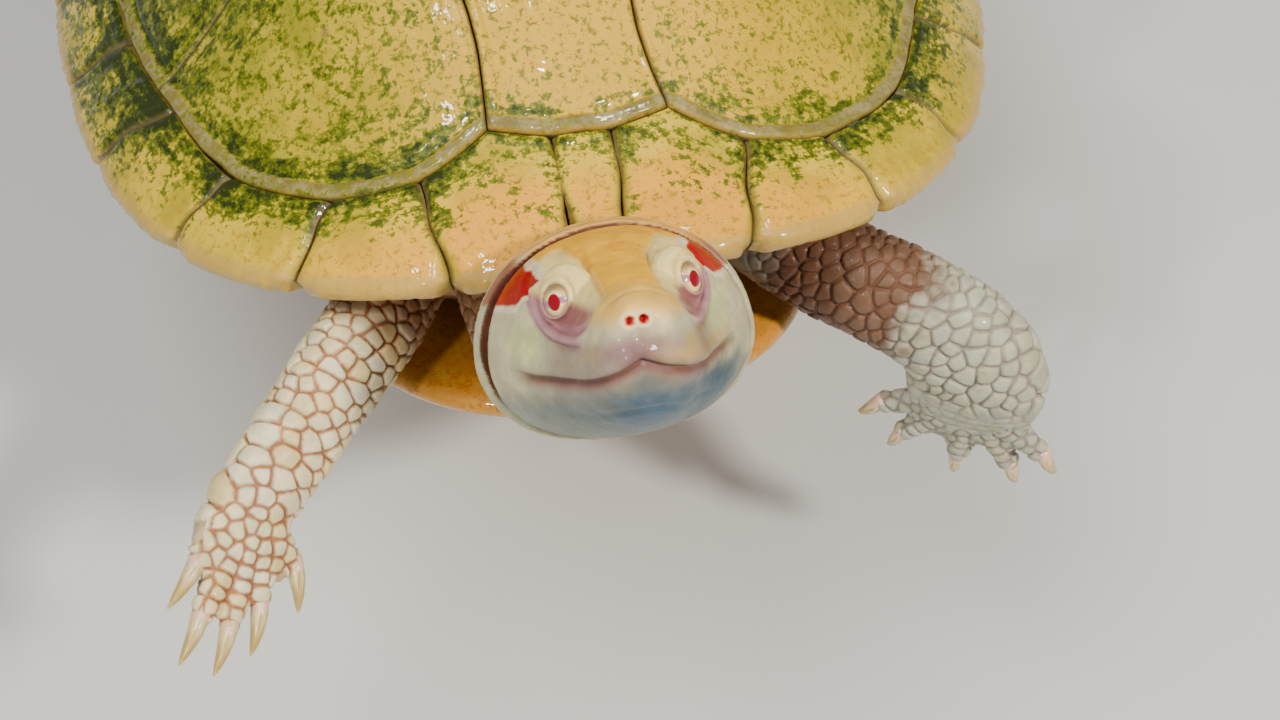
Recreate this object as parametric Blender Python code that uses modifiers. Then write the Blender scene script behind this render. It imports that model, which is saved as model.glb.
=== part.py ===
"""Red-eared slider turtle, an albino adult, as a still life-size model on a plain display stand.

The animal is modelled level in its own body space: millimetres, head towards -Y, +Z up, with the
origin in the middle of the shell at the height of its underside. One empty then pitches it nose up,
as a turtle hangs in the water, and lifts it over the stand's base. The world's origin is the middle
of the base's underside.
"""

import math

import bmesh
import bpy
import numpy as np
from mathutils import Matrix, Vector

MM = 0.001
GAP = 0.3

# Shell: the straight length of the carapace drives the animal's size.
SHELL_LENGTH = 203.0
HALF_LENGTH = SHELL_LENGTH / 2
HALF_WIDTH = 83.7
SHELL_TOP = 76.0
PLAN_SQUARENESS = 2.5
WIDENING = 0.06
RIM_HEIGHTS = (39.5, 26.0, 24.6, 27.0, 29.0)
ARCH_POWER = (1.87, 2.25)
FLARE = (0.12, 0.05)
SHELL_THICKNESS = 4.0
SHELL_SEGMENTS = 40
SHELL_REACHES = (0.12, 0.34, 0.54, 0.7, 0.82, 0.91, 0.97)
# The rounded rim: (reach, depth below the surface) of the three rings round its edge.
RIM_RINGS = ((0.993, 0.0), (1.0, 0.9), (0.995, 3.0))

# Seams between the scutes. Turns are degrees round the shell from the head; reaches run to 1 at the rim.
BAND = ((0, 0.785), (3.3, 0.787), (10.2, 0.768), (17, 0.833), (26, 0.868), (39, 0.873), (52, 0.848),
        (68, 0.855), (90, 0.858), (120, 0.85), (150, 0.835), (180, 0.82))
CERVICAL_EDGE = (2.3, 3.3)
BRIDGE_FRONT_EDGE = (60.6, 52.4)
BRIDGE_REAR_EDGE = (103.0, 101.0)
COSTAL_TURNS = (10.2, 57.0, 92.0, 127.0, 163.0)
# The back row: (half width, y) where two scutes of the row meet, and where each is widest.
VERTEBRAL_JOINTS = ((13.2, -45.0), (14.0, -9.0), (13.0, 28.0), (9.0, 60.0))
VERTEBRAL_CORNERS = ((12.4, -67.0), (21.0, -31.0), (21.5, 8.0), (19.0, 44.0))
BAND_STOPS = (0.0, 3.3, 10.2, 17.0, 26.0, 34.0, 43.0, 52.4, 57.0, 68.0, 80.0, 92.0, 101.0, 114.0, 127.0,
              139.0, 151.0, 163.0, 172.0)
ROW_SWAY = -3.2
SWAY_CENTRE = -50.0
SWAY_LENGTH = 18.0
# Upright cuts part the wall; they start below it, and run this far past its rim.
CUT_FLOOR = 5.0
CUT_MARGIN = 12.0
CUT_REACH = 1.16

# Plastron: two lobes and the bridges that rise to the marginal scutes.
PLASTRON_THICKNESS = 4.5
PLASTRON_BEVEL = 1.0
FORE_LOBE = {"half_width": 41.0, "depth": 38.0, "centre": -57.0}
HIND_LOBE = {"half_width": 46.0, "depth": 43.0, "centre": 48.0}
LOBE_SQUARENESS = 2.3
ANAL_NOTCH = 7.0
BRIDGE_ENDS = (-45.0, 42.0)
BRIDGE_FOOT = 52.0
BRIDGE_WALL = 3.6
BRIDGE_FLOOR = 0.4
BRIDGE_LAP = 6.0
BRIDGE_REACH = 0.95
BRIDGE_RISE = 25.0
BRIDGE_TAPER = 0.14

# Trunk: the soft body inside the shell, as (reach, height) up its side, then a depth below the shell.
TRUNK_SIDE = ((0.1, 5.2), (0.5, 5.6), (0.66, 7.5), (0.76, 12.0), (0.82, 19.0), (0.835, 26.0))
TRUNK_DEPTH = 5.4
TRUNK_TOP_REACHES = (0.8, 0.66, 0.45, 0.12)
TRUNK_SEGMENTS = 24

# Head: its own space is x across, f towards the snout and u up, from the point midway between the pupils.
EYE_MIDPOINT = Vector((-1.3, -124.3, 57.9))
HEAD_PITCH = math.radians(39.0)
HEAD_ROLL = math.radians(1.8)
HEAD_TAPER = 0.1
HEAD_SECTIONS = (
    # f, half width, top, bottom
    (14.9, 2.4, -0.9, -5.4),
    (13.9, 4.7, 0.2, -8.8),
    (11.3, 6.6, 1.2, -12.8),
    (7.3, 8.2, 2.2, -16.0),
    (2.5, 9.6, 3.3, -18.0),
    (-3.0, 11.9, 4.6, -19.6),
    (-9.0, 15.4, 6.0, -20.8),
    (-14.5, 17.2, 6.9, -21.6),
    (-19.0, 17.8, 7.3, -21.8),
)
MOUTH_LINE = ((22.0, -5.6), (13.5, -7.3), (11.0, -8.9), (8.0, -9.6), (0.0, -10.2), (-8.0, -9.9))
THROAT_END = (-17.0, -24.0)
BELOW_CHIN = (22.0, -30.0)
HEAD_ROOM = 30.0
EYE_RADIUS = 3.9
EYE_CENTRE = (6.8, -2.8, -0.4)
SOCKET_ROOM = 0.4

# Neck: a collar in the head's space, then (centre, up, half width, half height) from the head's back,
# round the shell's front rim, to inside the trunk.
NECK_COLLAR = ((-19.3, 19.3, 8.4, -22.6), (-22.6, 20.3, 9.2, -22.8))
NECK_SECTIONS = (
    ((-0.9, -108.9, 32.6), (0.0, 0.52, 0.855), 19.0, 13.4),
    ((-0.4, -105.0, 25.0), (0.0, 0.22, 0.975), 18.6, 11.2),
    ((0.0, -98.0, 21.8), (0.0, 0.04, 1.0), 19.2, 11.6),
    ((0.0, -90.0, 21.3), (0.0, 0.0, 1.0), 20.2, 12.2),
    ((0.0, -80.0, 21.0), (0.0, 0.0, 1.0), 21.0, 12.6),
    ((0.0, -68.0, 21.0), (0.0, 0.0, 1.0), 19.0, 11.0),
)

# Limbs: (centre, half width, half thickness) from inside the trunk to the wrist or ankle. `side` points to
# the body's middle line where the first toe is. The foot goes on from the last centre along `aim`, and
# each toe is (degrees from the foot's middle towards `side`, length from the wrist).
LIMBS = {
    "front_right": {
        "sections": (((-22.0, -58.0, 19.0), 8.0, 7.5), ((-29.5, -74.0, 20.0), 8.4, 7.8),
                     ((-34.2, -84.5, 19.2), 7.3, 7.0), ((-39.3, -90.8, 17.6), 7.1, 6.7),
                     ((-44.6, -97.0, 15.6), 6.9, 6.2), ((-50.8, -104.5, 13.0), 6.6, 5.4),
                     ((-56.4, -111.0, 10.6), 6.4, 4.4)),
        "side": (0.75, 0.03, -0.66),
        "aim": (-0.3, -0.87, -0.38),
        "toes": ((54.0, 11.2), (19.0, 14.8), (2.0, 18.2), (-13.0, 18.6), (-31.0, 12.8)),
    },
    "front_left": {
        "sections": (((22.0, -58.0, 19.0), 8.0, 7.5), ((31.0, -74.0, 18.2), 8.8, 8.2),
                     ((40.5, -84.0, 15.8), 8.4, 7.8), ((50.0, -90.0, 12.6), 8.6, 7.8),
                     ((57.5, -95.0, 8.2), 9.6, 7.2), ((60.8, -98.2, 3.0), 10.6, 6.0),
                     ((60.4, -98.6, -2.2), 11.0, 4.6)),
        "side": (-0.89, 0.45, 0.0),
        "aim": (0.0, 0.08, -0.99),
        "toes": ((62.0, 16.4), (36.0, 17.4), (2.0, 17.0), (-27.0, 18.2), (-48.0, 17.6)),
    },
    "hind_right": {
        "sections": (((-24.0, 54.0, 19.0), 9.0, 8.0), ((-36.0, 70.0, 18.0), 11.0, 8.6),
                     ((-48.0, 82.0, 16.0), 10.8, 8.4), ((-57.0, 91.0, 13.0), 10.4, 8.2),
                     ((-61.5, 99.0, 8.6), 9.4, 7.2), ((-62.0, 107.0, 3.6), 8.4, 5.6),
                     ((-61.5, 112.5, 0.6), 8.2, 4.6)),
        "side": (0.95, 0.15, 0.25),
        "aim": (0.05, 0.82, -0.57),
        "toes": ((32.0, 19.0), (15.0, 24.0), (-1.0, 26.0), (-18.0, 24.5), (-37.0, 19.5)),
    },
    "hind_left": {
        "sections": (((24.0, 54.0, 19.0), 9.0, 8.0), ((36.5, 69.0, 18.0), 11.0, 8.6),
                     ((50.0, 79.5, 15.6), 10.8, 8.4), ((61.0, 86.5, 11.6), 10.4, 8.2),
                     ((68.0, 93.5, 7.2), 9.4, 7.2), ((71.5, 101.0, 3.2), 8.4, 5.6),
                     ((73.0, 106.5, 0.4), 8.2, 4.6)),
        "side": (-0.9, 0.35, -0.1),
        "aim": (0.3, 0.8, -0.52),
        "toes": ((28.0, 19.0), (13.0, 24.0), (-1.0, 26.0), (-16.0, 24.5), (-32.0, 19.5)),
    },
}
FORE_PALM = 8.5
HIND_PALM = 13.0
# Palm: (place along it, share of the way from the wrist's width to the toes', share of its thickness).
PALM_STATIONS = ((0.035, 0.0, 1.0), (0.45, 0.5, 0.8), (0.85, 1.0, 0.62), (1.15, 0.9, 0.42))
TOE_STATIONS = ((0.35, 2.3), (0.7, 2.1), (1.0, 1.55))
TOE_FLESH = 2.6
TOE_FLATNESS = 0.92
WEB_THICKNESS = 1.2
WEB_ROOT = (0.8, 0.3)
WEB_ON_TOE = 0.86
WEB_SETBACK = 0.88
CLAW_LENGTH = 6.8
CLAW_RADIUS = 1.3
CLAW_DROOP = 1.9
CLAW_CLEARANCE = 0.65
CLAW_STATIONS = ((0.0, 1.0), (0.35, 0.86), (0.7, 0.52), (1.0, 0.1))

# Tail: (centre, radius) from inside the trunk to the tip.
TAIL_SECTIONS = (((0.0, 62.0, 14.0), 6.5), ((0.0, 78.0, 13.5), 6.4), ((0.5, 90.0, 12.5), 5.4),
                 ((2.0, 101.0, 10.8), 4.2), ((5.0, 112.0, 8.6), 3.0), ((9.5, 122.0, 6.4), 1.9),
                 ((14.0, 129.0, 5.0), 0.8))
TAIL_FLATNESS = 0.9

# Pose and stand.
NOSE_UP = math.radians(12.0)
BODY_LIFT = 60.0
BODY_SHIFT = -16.0
BASE_SIZE = (84.0, 100.0, 8.0)
BASE_CORNER = 22.0
BASE_EDGE = 1.2
ROD_RADIUS = 4.0
ROD_PLACES = (-26.0, 28.0)

COLOURS = {
    # name: (linear colour, roughness, metallic)
    "scute_keratin": ((0.52, 0.37, 0.075), 0.28, 0.0),
    "marginal_keratin": ((0.6, 0.38, 0.09), 0.28, 0.0),
    "plastron_keratin": ((0.66, 0.33, 0.08), 0.32, 0.0),
    "head_skin": ((0.76, 0.56, 0.34), 0.3, 0.0),
    "jaw_skin": ((0.66, 0.64, 0.5), 0.32, 0.0),
    "neck_skin": ((0.5, 0.44, 0.34), 0.4, 0.0),
    "trunk_skin": ((0.3, 0.25, 0.19), 0.5, 0.0),
    "limb_skin": ((0.74, 0.62, 0.46), 0.42, 0.0),
    "foot_skin": ((0.72, 0.62, 0.5), 0.42, 0.0),
    "tail_skin": ((0.62, 0.5, 0.36), 0.42, 0.0),
    "eye_globe": ((0.55, 0.03, 0.05), 0.06, 0.0),
    "claw_horn": ((0.66, 0.5, 0.22), 0.3, 0.0),
    "stand_enamel": ((0.6, 0.6, 0.58), 0.45, 0.0),
    "stand_steel": ((0.6, 0.6, 0.6), 0.3, 1.0),
}


# ---------------------------------------------------------------- scene and mesh helpers

def clear_scene():
    for old in list(bpy.data.objects):
        bpy.data.objects.remove(old)


def new_collection(name):
    collection = bpy.data.collections.new(name)
    bpy.context.scene.collection.children.link(collection)
    return collection


def material_of(name):
    """The Principled material called `name`, made the first time it is asked for."""
    material = bpy.data.materials.get(name)
    if material:
        return material
    colour, roughness, metallic = COLOURS[name]
    material = bpy.data.materials.new(name)
    material.use_nodes = True
    shader = material.node_tree.nodes["Principled BSDF"]
    shader.inputs["Base Color"].default_value = (*colour, 1.0)
    shader.inputs["Roughness"].default_value = roughness
    shader.inputs["Metallic"].default_value = metallic
    return material


def object_from(bm, name, collection, parent=None):
    """An object holding `bm`, whose points are in millimetres, with its faces turned outwards."""
    bmesh.ops.recalc_face_normals(bm, faces=bm.faces)
    bmesh.ops.scale(bm, vec=(MM, MM, MM), verts=bm.verts)
    mesh = bpy.data.meshes.new(name)
    bm.to_mesh(mesh)
    bm.free()
    mesh.shade_smooth()
    obj = bpy.data.objects.new(name, mesh)
    collection.objects.link(obj)
    obj.parent = parent
    return obj


def loft(rings, closed=True):
    """A skin through `rings` of points, all with the same count; closed rings get a cap at each end."""
    bm = bmesh.new()
    rows = [[bm.verts.new(point) for point in ring] for ring in rings]
    count = len(rows[0])
    for low, high in zip(rows, rows[1:]):
        for i in range(count if closed else count - 1):
            j = (i + 1) % count
            bm.faces.new((low[i], low[j], high[j], high[i]))
    if closed:
        bm.faces.new(rows[0])
        bm.faces.new(rows[-1])
    return bm


def prism(outline, axes, low, high):
    """`outline` (2-D points) drawn on the first two of three `axes` and pushed along the third."""
    across, along, through = axes
    bm = bmesh.new()
    face = bm.faces.new([bm.verts.new(across * x + along * y + through * low) for x, y in outline])
    pushed = bmesh.ops.extrude_face_region(bm, geom=[face])["geom"]
    moved = [item for item in pushed if isinstance(item, bmesh.types.BMVert)]
    bmesh.ops.translate(bm, vec=through * (high - low), verts=moved)
    return bm


def inset(outline, distance):
    """A closed 2-D outline moved inwards by `distance`; a negative distance moves it outwards."""
    points = [Vector(point) for point in outline]
    area = sum(a.x * b.y - b.x * a.y for a, b in zip(points, points[1:] + points[:1]))
    if area < 0:
        points.reverse()
    moved = []
    for before, here, after in zip(points[-1:] + points, points, points[1:] + points[:1]):
        first = (here - before).normalized()
        second = (after - here).normalized()
        normal = Vector((-first.y, first.x))
        corner = (normal + Vector((-second.y, second.x))).normalized()
        moved.append(here + corner * distance / max(corner.dot(normal), 0.4))
    return moved


def smooth_path(values, steps):
    """A Catmull-Rom curve through equal-length vectors, `steps` pieces to each span."""
    knots = [np.array(value, float) for value in values]
    knots = [2 * knots[0] - knots[1], *knots, 2 * knots[-1] - knots[-2]]
    path = []
    for a, b, c, d in zip(knots, knots[1:], knots[2:], knots[3:]):
        for step in range(steps):
            t = step / steps
            path.append(0.5 * (2 * b + (c - a) * t + (2 * a - 5 * b + 4 * c - d) * t * t
                               + (3 * b - a - 3 * c + d) * t ** 3))
    return path + [knots[-2]]


def ring_at(centre, across, up, half_width, half_height, count, squareness=2.0):
    """A superellipse of `count` points round `centre`."""
    points = []
    for k in range(count):
        turn = 2 * math.pi * (k + 0.5) / count
        cos, sin = math.cos(turn), math.sin(turn)
        x = math.copysign(abs(cos) ** (2 / squareness), cos) * half_width
        z = math.copysign(abs(sin) ** (2 / squareness), sin) * half_height
        points.append(centre + across * x + up * z)
    return points


def boolean(obj, operation, other):
    modifier = obj.modifiers.new(f"{operation.lower()} {other.name}", "BOOLEAN")
    modifier.operation = operation
    modifier.solver = "EXACT"
    modifier.object = other


class Workshop:
    """Where finished parts and cutters go, and the empty that holds the animal in its pose."""

    def __init__(self):
        self.parts = new_collection("red_eared_slider")
        self.cutters = new_collection("cutters")
        self.pose = bpy.data.objects.new("body_pose", None)
        self.parts.objects.link(self.pose)
        self.pose.location = (0.0, BODY_SHIFT * MM, BODY_LIFT * MM)
        self.pose.rotation_euler = (-NOSE_UP, 0.0, 0.0)

    def part(self, bm, name, material, posed=True):
        obj = object_from(bm, name, self.parts, self.pose if posed else None)
        obj.data.materials.append(material_of(material))
        return obj

    def cutter(self, bm, name):
        obj = object_from(bm, name, self.cutters, self.pose)
        obj.hide_render = True
        obj.display_type = "WIRE"
        return obj


# ---------------------------------------------------------------- shell

def cosine_series(heights):
    """Factors of a cosine series that takes the given heights at equal turns from 0 to 180 degrees."""
    turns = np.linspace(0.0, math.pi, len(heights))
    return np.linalg.solve(np.cos(np.outer(turns, np.arange(len(heights)))), heights)


RIM_SERIES = cosine_series(RIM_HEIGHTS)


def rim_height(turn):
    return float(sum(factor * math.cos(k * turn) for k, factor in enumerate(RIM_SERIES)))


def plan_point(turn, reach):
    """(x, y) in the shell's plan, `turn` radians from the head towards +X, `reach` of the way to the rim."""
    side, ahead = math.sin(turn), math.cos(turn)
    radius = HALF_LENGTH
    for _ in range(8):
        half_width = HALF_WIDTH * (1 - WIDENING * radius * ahead / HALF_LENGTH)
        radius = ((abs(side) / half_width) ** PLAN_SQUARENESS
                  + (abs(ahead) / HALF_LENGTH) ** PLAN_SQUARENESS) ** (-1 / PLAN_SQUARENESS)
    return reach * radius * side, -reach * radius * ahead


def shell_surface(turn, reach):
    """A point of the carapace's outer surface: a dome that flares a little just inside its rim."""
    x, y = plan_point(turn, reach)
    sideways = math.sin(turn) ** 2
    power = ARCH_POWER[0] + (ARCH_POWER[1] - ARCH_POWER[0]) * sideways
    flare = FLARE[0] + (FLARE[1] - FLARE[0]) * sideways
    hollow = math.sin(math.pi * min(max((reach - 0.55) / 0.45, 0.0), 1.0)) ** 2
    rise = 1 - reach ** power - flare * hollow
    rim = rim_height(turn)
    return Vector((x, y, rim + (SHELL_TOP - rim) * rise))


def shell_point(turn, reach, depth):
    """The surface point moved `depth` millimetres into the shell, square to the surface."""
    step = 0.004
    outward = shell_surface(turn, reach) - shell_surface(turn, reach - step)
    around = shell_surface(turn + step, reach) - shell_surface(turn - step, reach)
    return shell_surface(turn, reach) - around.cross(outward).normalized() * -depth


def shell_turns(count):
    return [2 * math.pi * k / count for k in range(count)]


def shell_solid(grow):
    """The whole carapace wall as a closed loft, made thicker by `grow` on every side."""
    turns = shell_turns(SHELL_SEGMENTS)
    outer = [[shell_point(t, reach, -grow) for t in turns] for reach in SHELL_REACHES]
    inner = [[shell_point(t, reach, SHELL_THICKNESS + grow) for t in turns]
             for reach in reversed(SHELL_REACHES)]
    rim = [[shell_point(t, reach + grow / HALF_WIDTH, depth + share * grow) for t in turns]
           for (reach, depth), share in zip(RIM_RINGS, (-1, 0, 1))]
    return loft([*outer, *rim, *inner])


def band_point(degrees, extra=0.0):
    """The plan point where the marginals meet the scutes inside them."""
    turns, reaches = zip(*BAND)
    reach = float(np.interp(abs(degrees), turns, reaches))
    return Vector(plan_point(math.radians(degrees), reach + extra))


def band_run(start, end):
    """Band points from one turn to another, by way of the stops that every scute on the band shares."""
    low, high = min(start, end), max(start, end)
    stops = [side * stop for side in (-1, 1) for stop in BAND_STOPS if low < side * stop < high]
    turns = [low, *sorted(set(stops)), high]
    return [band_point(turn) for turn in (turns if start < end else turns[::-1])]


def row_point(side, place):
    """A corner of the vertebral row on one side; the row sways a little from the middle line."""
    half_width, y = place
    sway = ROW_SWAY * math.exp(-((y - SWAY_CENTRE) / SWAY_LENGTH) ** 2)
    return Vector((side * half_width + sway, y))


def marginal_outline(side, front_edge, rear_edge):
    """The plan of a run of marginals: along the inner band, then out past the rim and back."""
    run = band_run(side * front_edge[1], side * rear_edge[1])
    far = []
    for rim_degrees, band_degrees in (rear_edge, front_edge):
        rim = Vector(plan_point(math.radians(side * rim_degrees), 1.0))
        inner = band_point(side * band_degrees)
        far.append(rim + (rim - inner).normalized() * CUT_MARGIN)
    steps = max(2, round(abs(rear_edge[0] - front_edge[0]) / 10.0))
    arc = []
    for k in range(1, steps):
        degrees = rear_edge[0] + (front_edge[0] - rear_edge[0]) * k / steps
        arc.append(Vector(plan_point(math.radians(side * degrees), CUT_REACH)))
    return [*run, far[0], *arc, far[1]]


def scute_outlines():
    """Each scute's plan outline by node name, with the material it takes."""
    outlines = {}
    right, left = -1, 1
    pairs = list(zip(VERTEBRAL_CORNERS, VERTEBRAL_JOINTS))
    front = band_run(-COSTAL_TURNS[0], COSTAL_TURNS[0])
    waist, joint = pairs[0]
    outlines["vertebral_1"] = [*front, row_point(left, waist), row_point(left, joint),
                               row_point(right, joint), row_point(right, waist)]
    for number in (2, 3, 4):
        before = VERTEBRAL_JOINTS[number - 2]
        corner, joint = pairs[number - 1]
        outlines[f"vertebral_{number}"] = [
            row_point(left, before), row_point(left, corner), row_point(left, joint),
            row_point(right, joint), row_point(right, corner), row_point(right, before)]
    last = VERTEBRAL_JOINTS[3]
    rear = [*band_run(COSTAL_TURNS[4], 180.0), *band_run(-180.0, -COSTAL_TURNS[4])[1:]]
    outlines["vertebral_5"] = [row_point(left, last), *rear, row_point(right, last)]
    for side, word in ((left, "left"), (right, "right")):
        for number in (1, 2, 3, 4):
            start, end = COSTAL_TURNS[number - 1], COSTAL_TURNS[number]
            run = band_run(side * start, side * end)
            joint = VERTEBRAL_JOINTS[number - 1]
            inner = [row_point(side, joint), row_point(side, VERTEBRAL_CORNERS[number - 1])]
            if number < 4:
                inner.insert(0, row_point(side, VERTEBRAL_CORNERS[number]))
            outlines[f"costal_{word}_{number}"] = [*run, *inner]
        outlines[f"marginals_front_{word}"] = marginal_outline(side, CERVICAL_EDGE, BRIDGE_FRONT_EDGE)
        outlines[f"marginals_bridge_{word}"] = marginal_outline(side, BRIDGE_FRONT_EDGE, BRIDGE_REAR_EDGE)
        outlines[f"marginals_rear_{word}"] = marginal_outline(side, BRIDGE_REAR_EDGE, (180.0, 180.0))
    outlines["cervical"] = marginal_outline(1, (-CERVICAL_EDGE[0], -CERVICAL_EDGE[1]), CERVICAL_EDGE)
    return outlines


def build_carapace(shop):
    """The carapace is one wall, parted into its scutes by upright cuts along the seams."""
    wall = shell_solid(0.0)
    axes = (Vector((1, 0, 0)), Vector((0, 1, 0)), Vector((0, 0, 1)))
    for name, outline in scute_outlines().items():
        material = "scute_keratin" if name.startswith(("vertebral", "costal")) else "marginal_keratin"
        scute = shop.part(wall.copy(), name, material)
        cut = prism(inset(outline, GAP / 2), axes, CUT_FLOOR, SHELL_TOP + CUT_MARGIN)
        boolean(scute, "INTERSECT", shop.cutter(cut, f"{name}_plan"))
    wall.free()


def lobe_edge(lobe, end, steps):
    """Half of a lobe's edge, from its widest place to the middle line; end is -1 in front and 1 behind."""
    points = []
    for k in range(steps + 1):
        turn = math.pi / 2 * k / steps
        across = math.cos(turn) ** (2 / LOBE_SQUARENESS) * lobe["half_width"]
        along = math.sin(turn) ** (2 / LOBE_SQUARENESS) * lobe["depth"]
        points.append(Vector((across, lobe["centre"] + end * along)))
    return points


def plastron_outline():
    """Counter-clockwise from the front of the middle line, with a notch behind for the tail."""
    front = lobe_edge(FORE_LOBE, -1, 7)[::-1]
    rear = lobe_edge(HIND_LOBE, 1, 7)
    rear[-1].y -= ANAL_NOTCH
    corners = [Vector((BRIDGE_FOOT + PLASTRON_BEVEL * 2, y)) for y in BRIDGE_ENDS]
    half = [*front, *corners, *rear]
    mirrored = [Vector((-point.x, point.y)) for point in reversed(half[1:-1])]
    return half + mirrored


def half_width_at(y):
    """The shell's half width in plan at `y`."""
    widest = HALF_WIDTH * (1 + WIDENING * y / HALF_LENGTH)
    return widest * (1 - abs(y / HALF_LENGTH) ** PLAN_SQUARENESS) ** (1 / PLAN_SQUARENESS)


def bridge_sheet(side, steps=5, rows=4):
    """The curved wall from the plastron's edge up to the marginals, as an open sheet."""
    lines = []
    for row in range(rows + 1):
        foot_y = BRIDGE_ENDS[0] + (BRIDGE_ENDS[1] - BRIDGE_ENDS[0]) * row / rows
        line = [Vector((side * (BRIDGE_FOOT - BRIDGE_LAP), foot_y, BRIDGE_FLOOR))]
        for step in range(steps + 1):
            turn = math.pi / 2 * step / steps
            y = foot_y * (1 - BRIDGE_TAPER * math.sin(turn))
            spread = BRIDGE_REACH * half_width_at(y) - BRIDGE_FOOT
            x = BRIDGE_FOOT + spread * math.sin(turn)
            line.append(Vector((side * x, y, BRIDGE_RISE * (1 - math.cos(turn)) + BRIDGE_FLOOR)))
        lines.append(line)
    return loft(lines, closed=False)


def build_plastron(shop, shell_room):
    axes = (Vector((1, 0, 0)), Vector((0, 1, 0)), Vector((0, 0, 1)))
    flat = prism(plastron_outline(), axes, 0.0, PLASTRON_THICKNESS)
    plate = shop.part(flat, "plastron", "plastron_keratin")
    bevel = plate.modifiers.new("worn edge", "BEVEL")
    bevel.width = PLASTRON_BEVEL * MM
    bevel.segments = 1
    bevel.limit_method = "ANGLE"
    bevel.angle_limit = math.radians(60.0)
    for side in (-1, 1):
        sheet = shop.cutter(bridge_sheet(side), f"bridge_{side}")
        wall = sheet.modifiers.new("wall", "SOLIDIFY")
        wall.thickness = BRIDGE_WALL * MM
        wall.offset = -1.0
        boolean(plate, "UNION", sheet)
    boolean(plate, "DIFFERENCE", shell_room)


# ---------------------------------------------------------------- soft body

def trunk_solid(grow):
    turns = shell_turns(TRUNK_SEGMENTS)
    rings = []
    for reach, height in TRUNK_SIDE:
        drop = grow if height < 10.0 else 0.0
        ring = []
        for turn in turns:
            x, y = plan_point(turn, reach + grow / HALF_WIDTH)
            ring.append(Vector((x, y, height - drop)))
        rings.append(ring)
    for reach in TRUNK_TOP_REACHES:
        rings.append([shell_point(turn, reach, TRUNK_DEPTH - grow) for turn in turns])
    return loft(rings)


def head_matrix():
    """Columns are across, towards the snout and up, in body space, from the point between the pupils."""
    across = Vector((1, 0, 0))
    ahead = Vector((0, -math.cos(HEAD_PITCH), math.sin(HEAD_PITCH)))
    up = Vector((0, math.sin(HEAD_PITCH), math.cos(HEAD_PITCH)))
    matrix = Matrix((across, ahead, up)).transposed().to_4x4()
    matrix.translation = EYE_MIDPOINT
    return matrix @ Matrix.Rotation(-HEAD_ROLL, 4, "Y")


def head_ring(section, count, squareness=2.15):
    f, half_width, top, bottom = section
    centre = Vector((0.0, f, (top + bottom) / 2))
    half_height = (top - bottom) / 2
    ring = ring_at(centre, Vector((1, 0, 0)), Vector((0, 0, 1)), half_width, half_height, count, squareness)
    for point in ring:
        point.x *= 1 - HEAD_TAPER * (point.z - centre.z) / half_height
    return [head_matrix() @ point for point in ring]


def mouth_block(grow):
    """Everything below the mouth line and in front of the throat, right across the head."""
    outline = [Vector(point) for point in (*MOUTH_LINE, THROAT_END, BELOW_CHIN)]
    place = head_matrix().to_3x3()
    axes = (place @ Vector((0, 1, 0)), place @ Vector((0, 0, 1)), place @ Vector((1, 0, 0)))
    bm = prism(inset(outline, -grow), axes, -HEAD_ROOM, HEAD_ROOM)
    bmesh.ops.translate(bm, vec=EYE_MIDPOINT, verts=bm.verts)
    return bm


def ball(centre, radius, segments=12, rings=8):
    bm = bmesh.new()
    bmesh.ops.create_uvsphere(bm, u_segments=segments, v_segments=rings, radius=radius)
    bmesh.ops.translate(bm, vec=centre, verts=bm.verts)
    return bm


def build_head(shop):
    def whole():
        return loft([head_ring(section, 22) for section in HEAD_SECTIONS])

    head = shop.part(whole(), "head", "head_skin")
    jaw = shop.part(whole(), "lower_jaw", "jaw_skin")
    boolean(head, "DIFFERENCE", shop.cutter(mouth_block(GAP / 2), "mouth_room"))
    boolean(jaw, "INTERSECT", shop.cutter(mouth_block(-GAP / 2), "jaw_block"))
    for side, word in ((1, "left"), (-1, "right")):
        x, f, u = EYE_CENTRE
        centre = head_matrix() @ Vector((side * x, f, u))
        shop.part(ball(centre, EYE_RADIUS), f"eye_{word}", "eye_globe")
        boolean(head, "DIFFERENCE", shop.cutter(ball(centre, EYE_RADIUS + SOCKET_ROOM), f"socket_{word}"))


def build_neck(shop, shell_room, trunk_room):
    rings = [head_ring(section, 20, 2.1) for section in NECK_COLLAR]
    knots = [(*centre, *up, width, height) for centre, up, width, height in NECK_SECTIONS]
    for values in smooth_path(knots, 1):
        centre, up = Vector(values[:3]), Vector(values[3:6]).normalized()
        rings.append(ring_at(centre, Vector((1, 0, 0)), up, values[6], values[7], 20, 2.1))
    neck = shop.part(loft(rings), "neck", "neck_skin")
    boolean(neck, "DIFFERENCE", shell_room)
    boolean(neck, "DIFFERENCE", trunk_room)


def frame_along(direction, side):
    """(across, forward, up) unit vectors, with across kept as near to `side` as the direction lets it."""
    forward = Vector(direction).normalized()
    across = Vector(side)
    across = (across - forward * across.dot(forward)).normalized()
    return across, forward, across.cross(forward)


def limb_rings(limb, steps=2, count=12):
    """Rings from the wrist back to the trunk, their broad axis carried along without twisting."""
    knots = [(*centre, width, thickness) for centre, width, thickness in limb["sections"]]
    path = smooth_path(knots, steps)[::-1]
    across, direction, _ = frame_along(limb["aim"], limb["side"])
    rings = []
    for index, values in enumerate(path):
        if index:
            nearer, farther = path[index - 1], path[min(index + 1, len(path) - 1)]
            direction = Vector(nearer[:3] - farther[:3])
        across, _, up = frame_along(direction, across)
        rings.append(ring_at(Vector(values[:3]), across, up, values[3], values[4], count, 2.2))
    return rings


def toe_direction(frame, degrees):
    across, forward, _ = frame
    turn = math.radians(degrees)
    return forward * math.cos(turn) + across * math.sin(turn)


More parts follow.
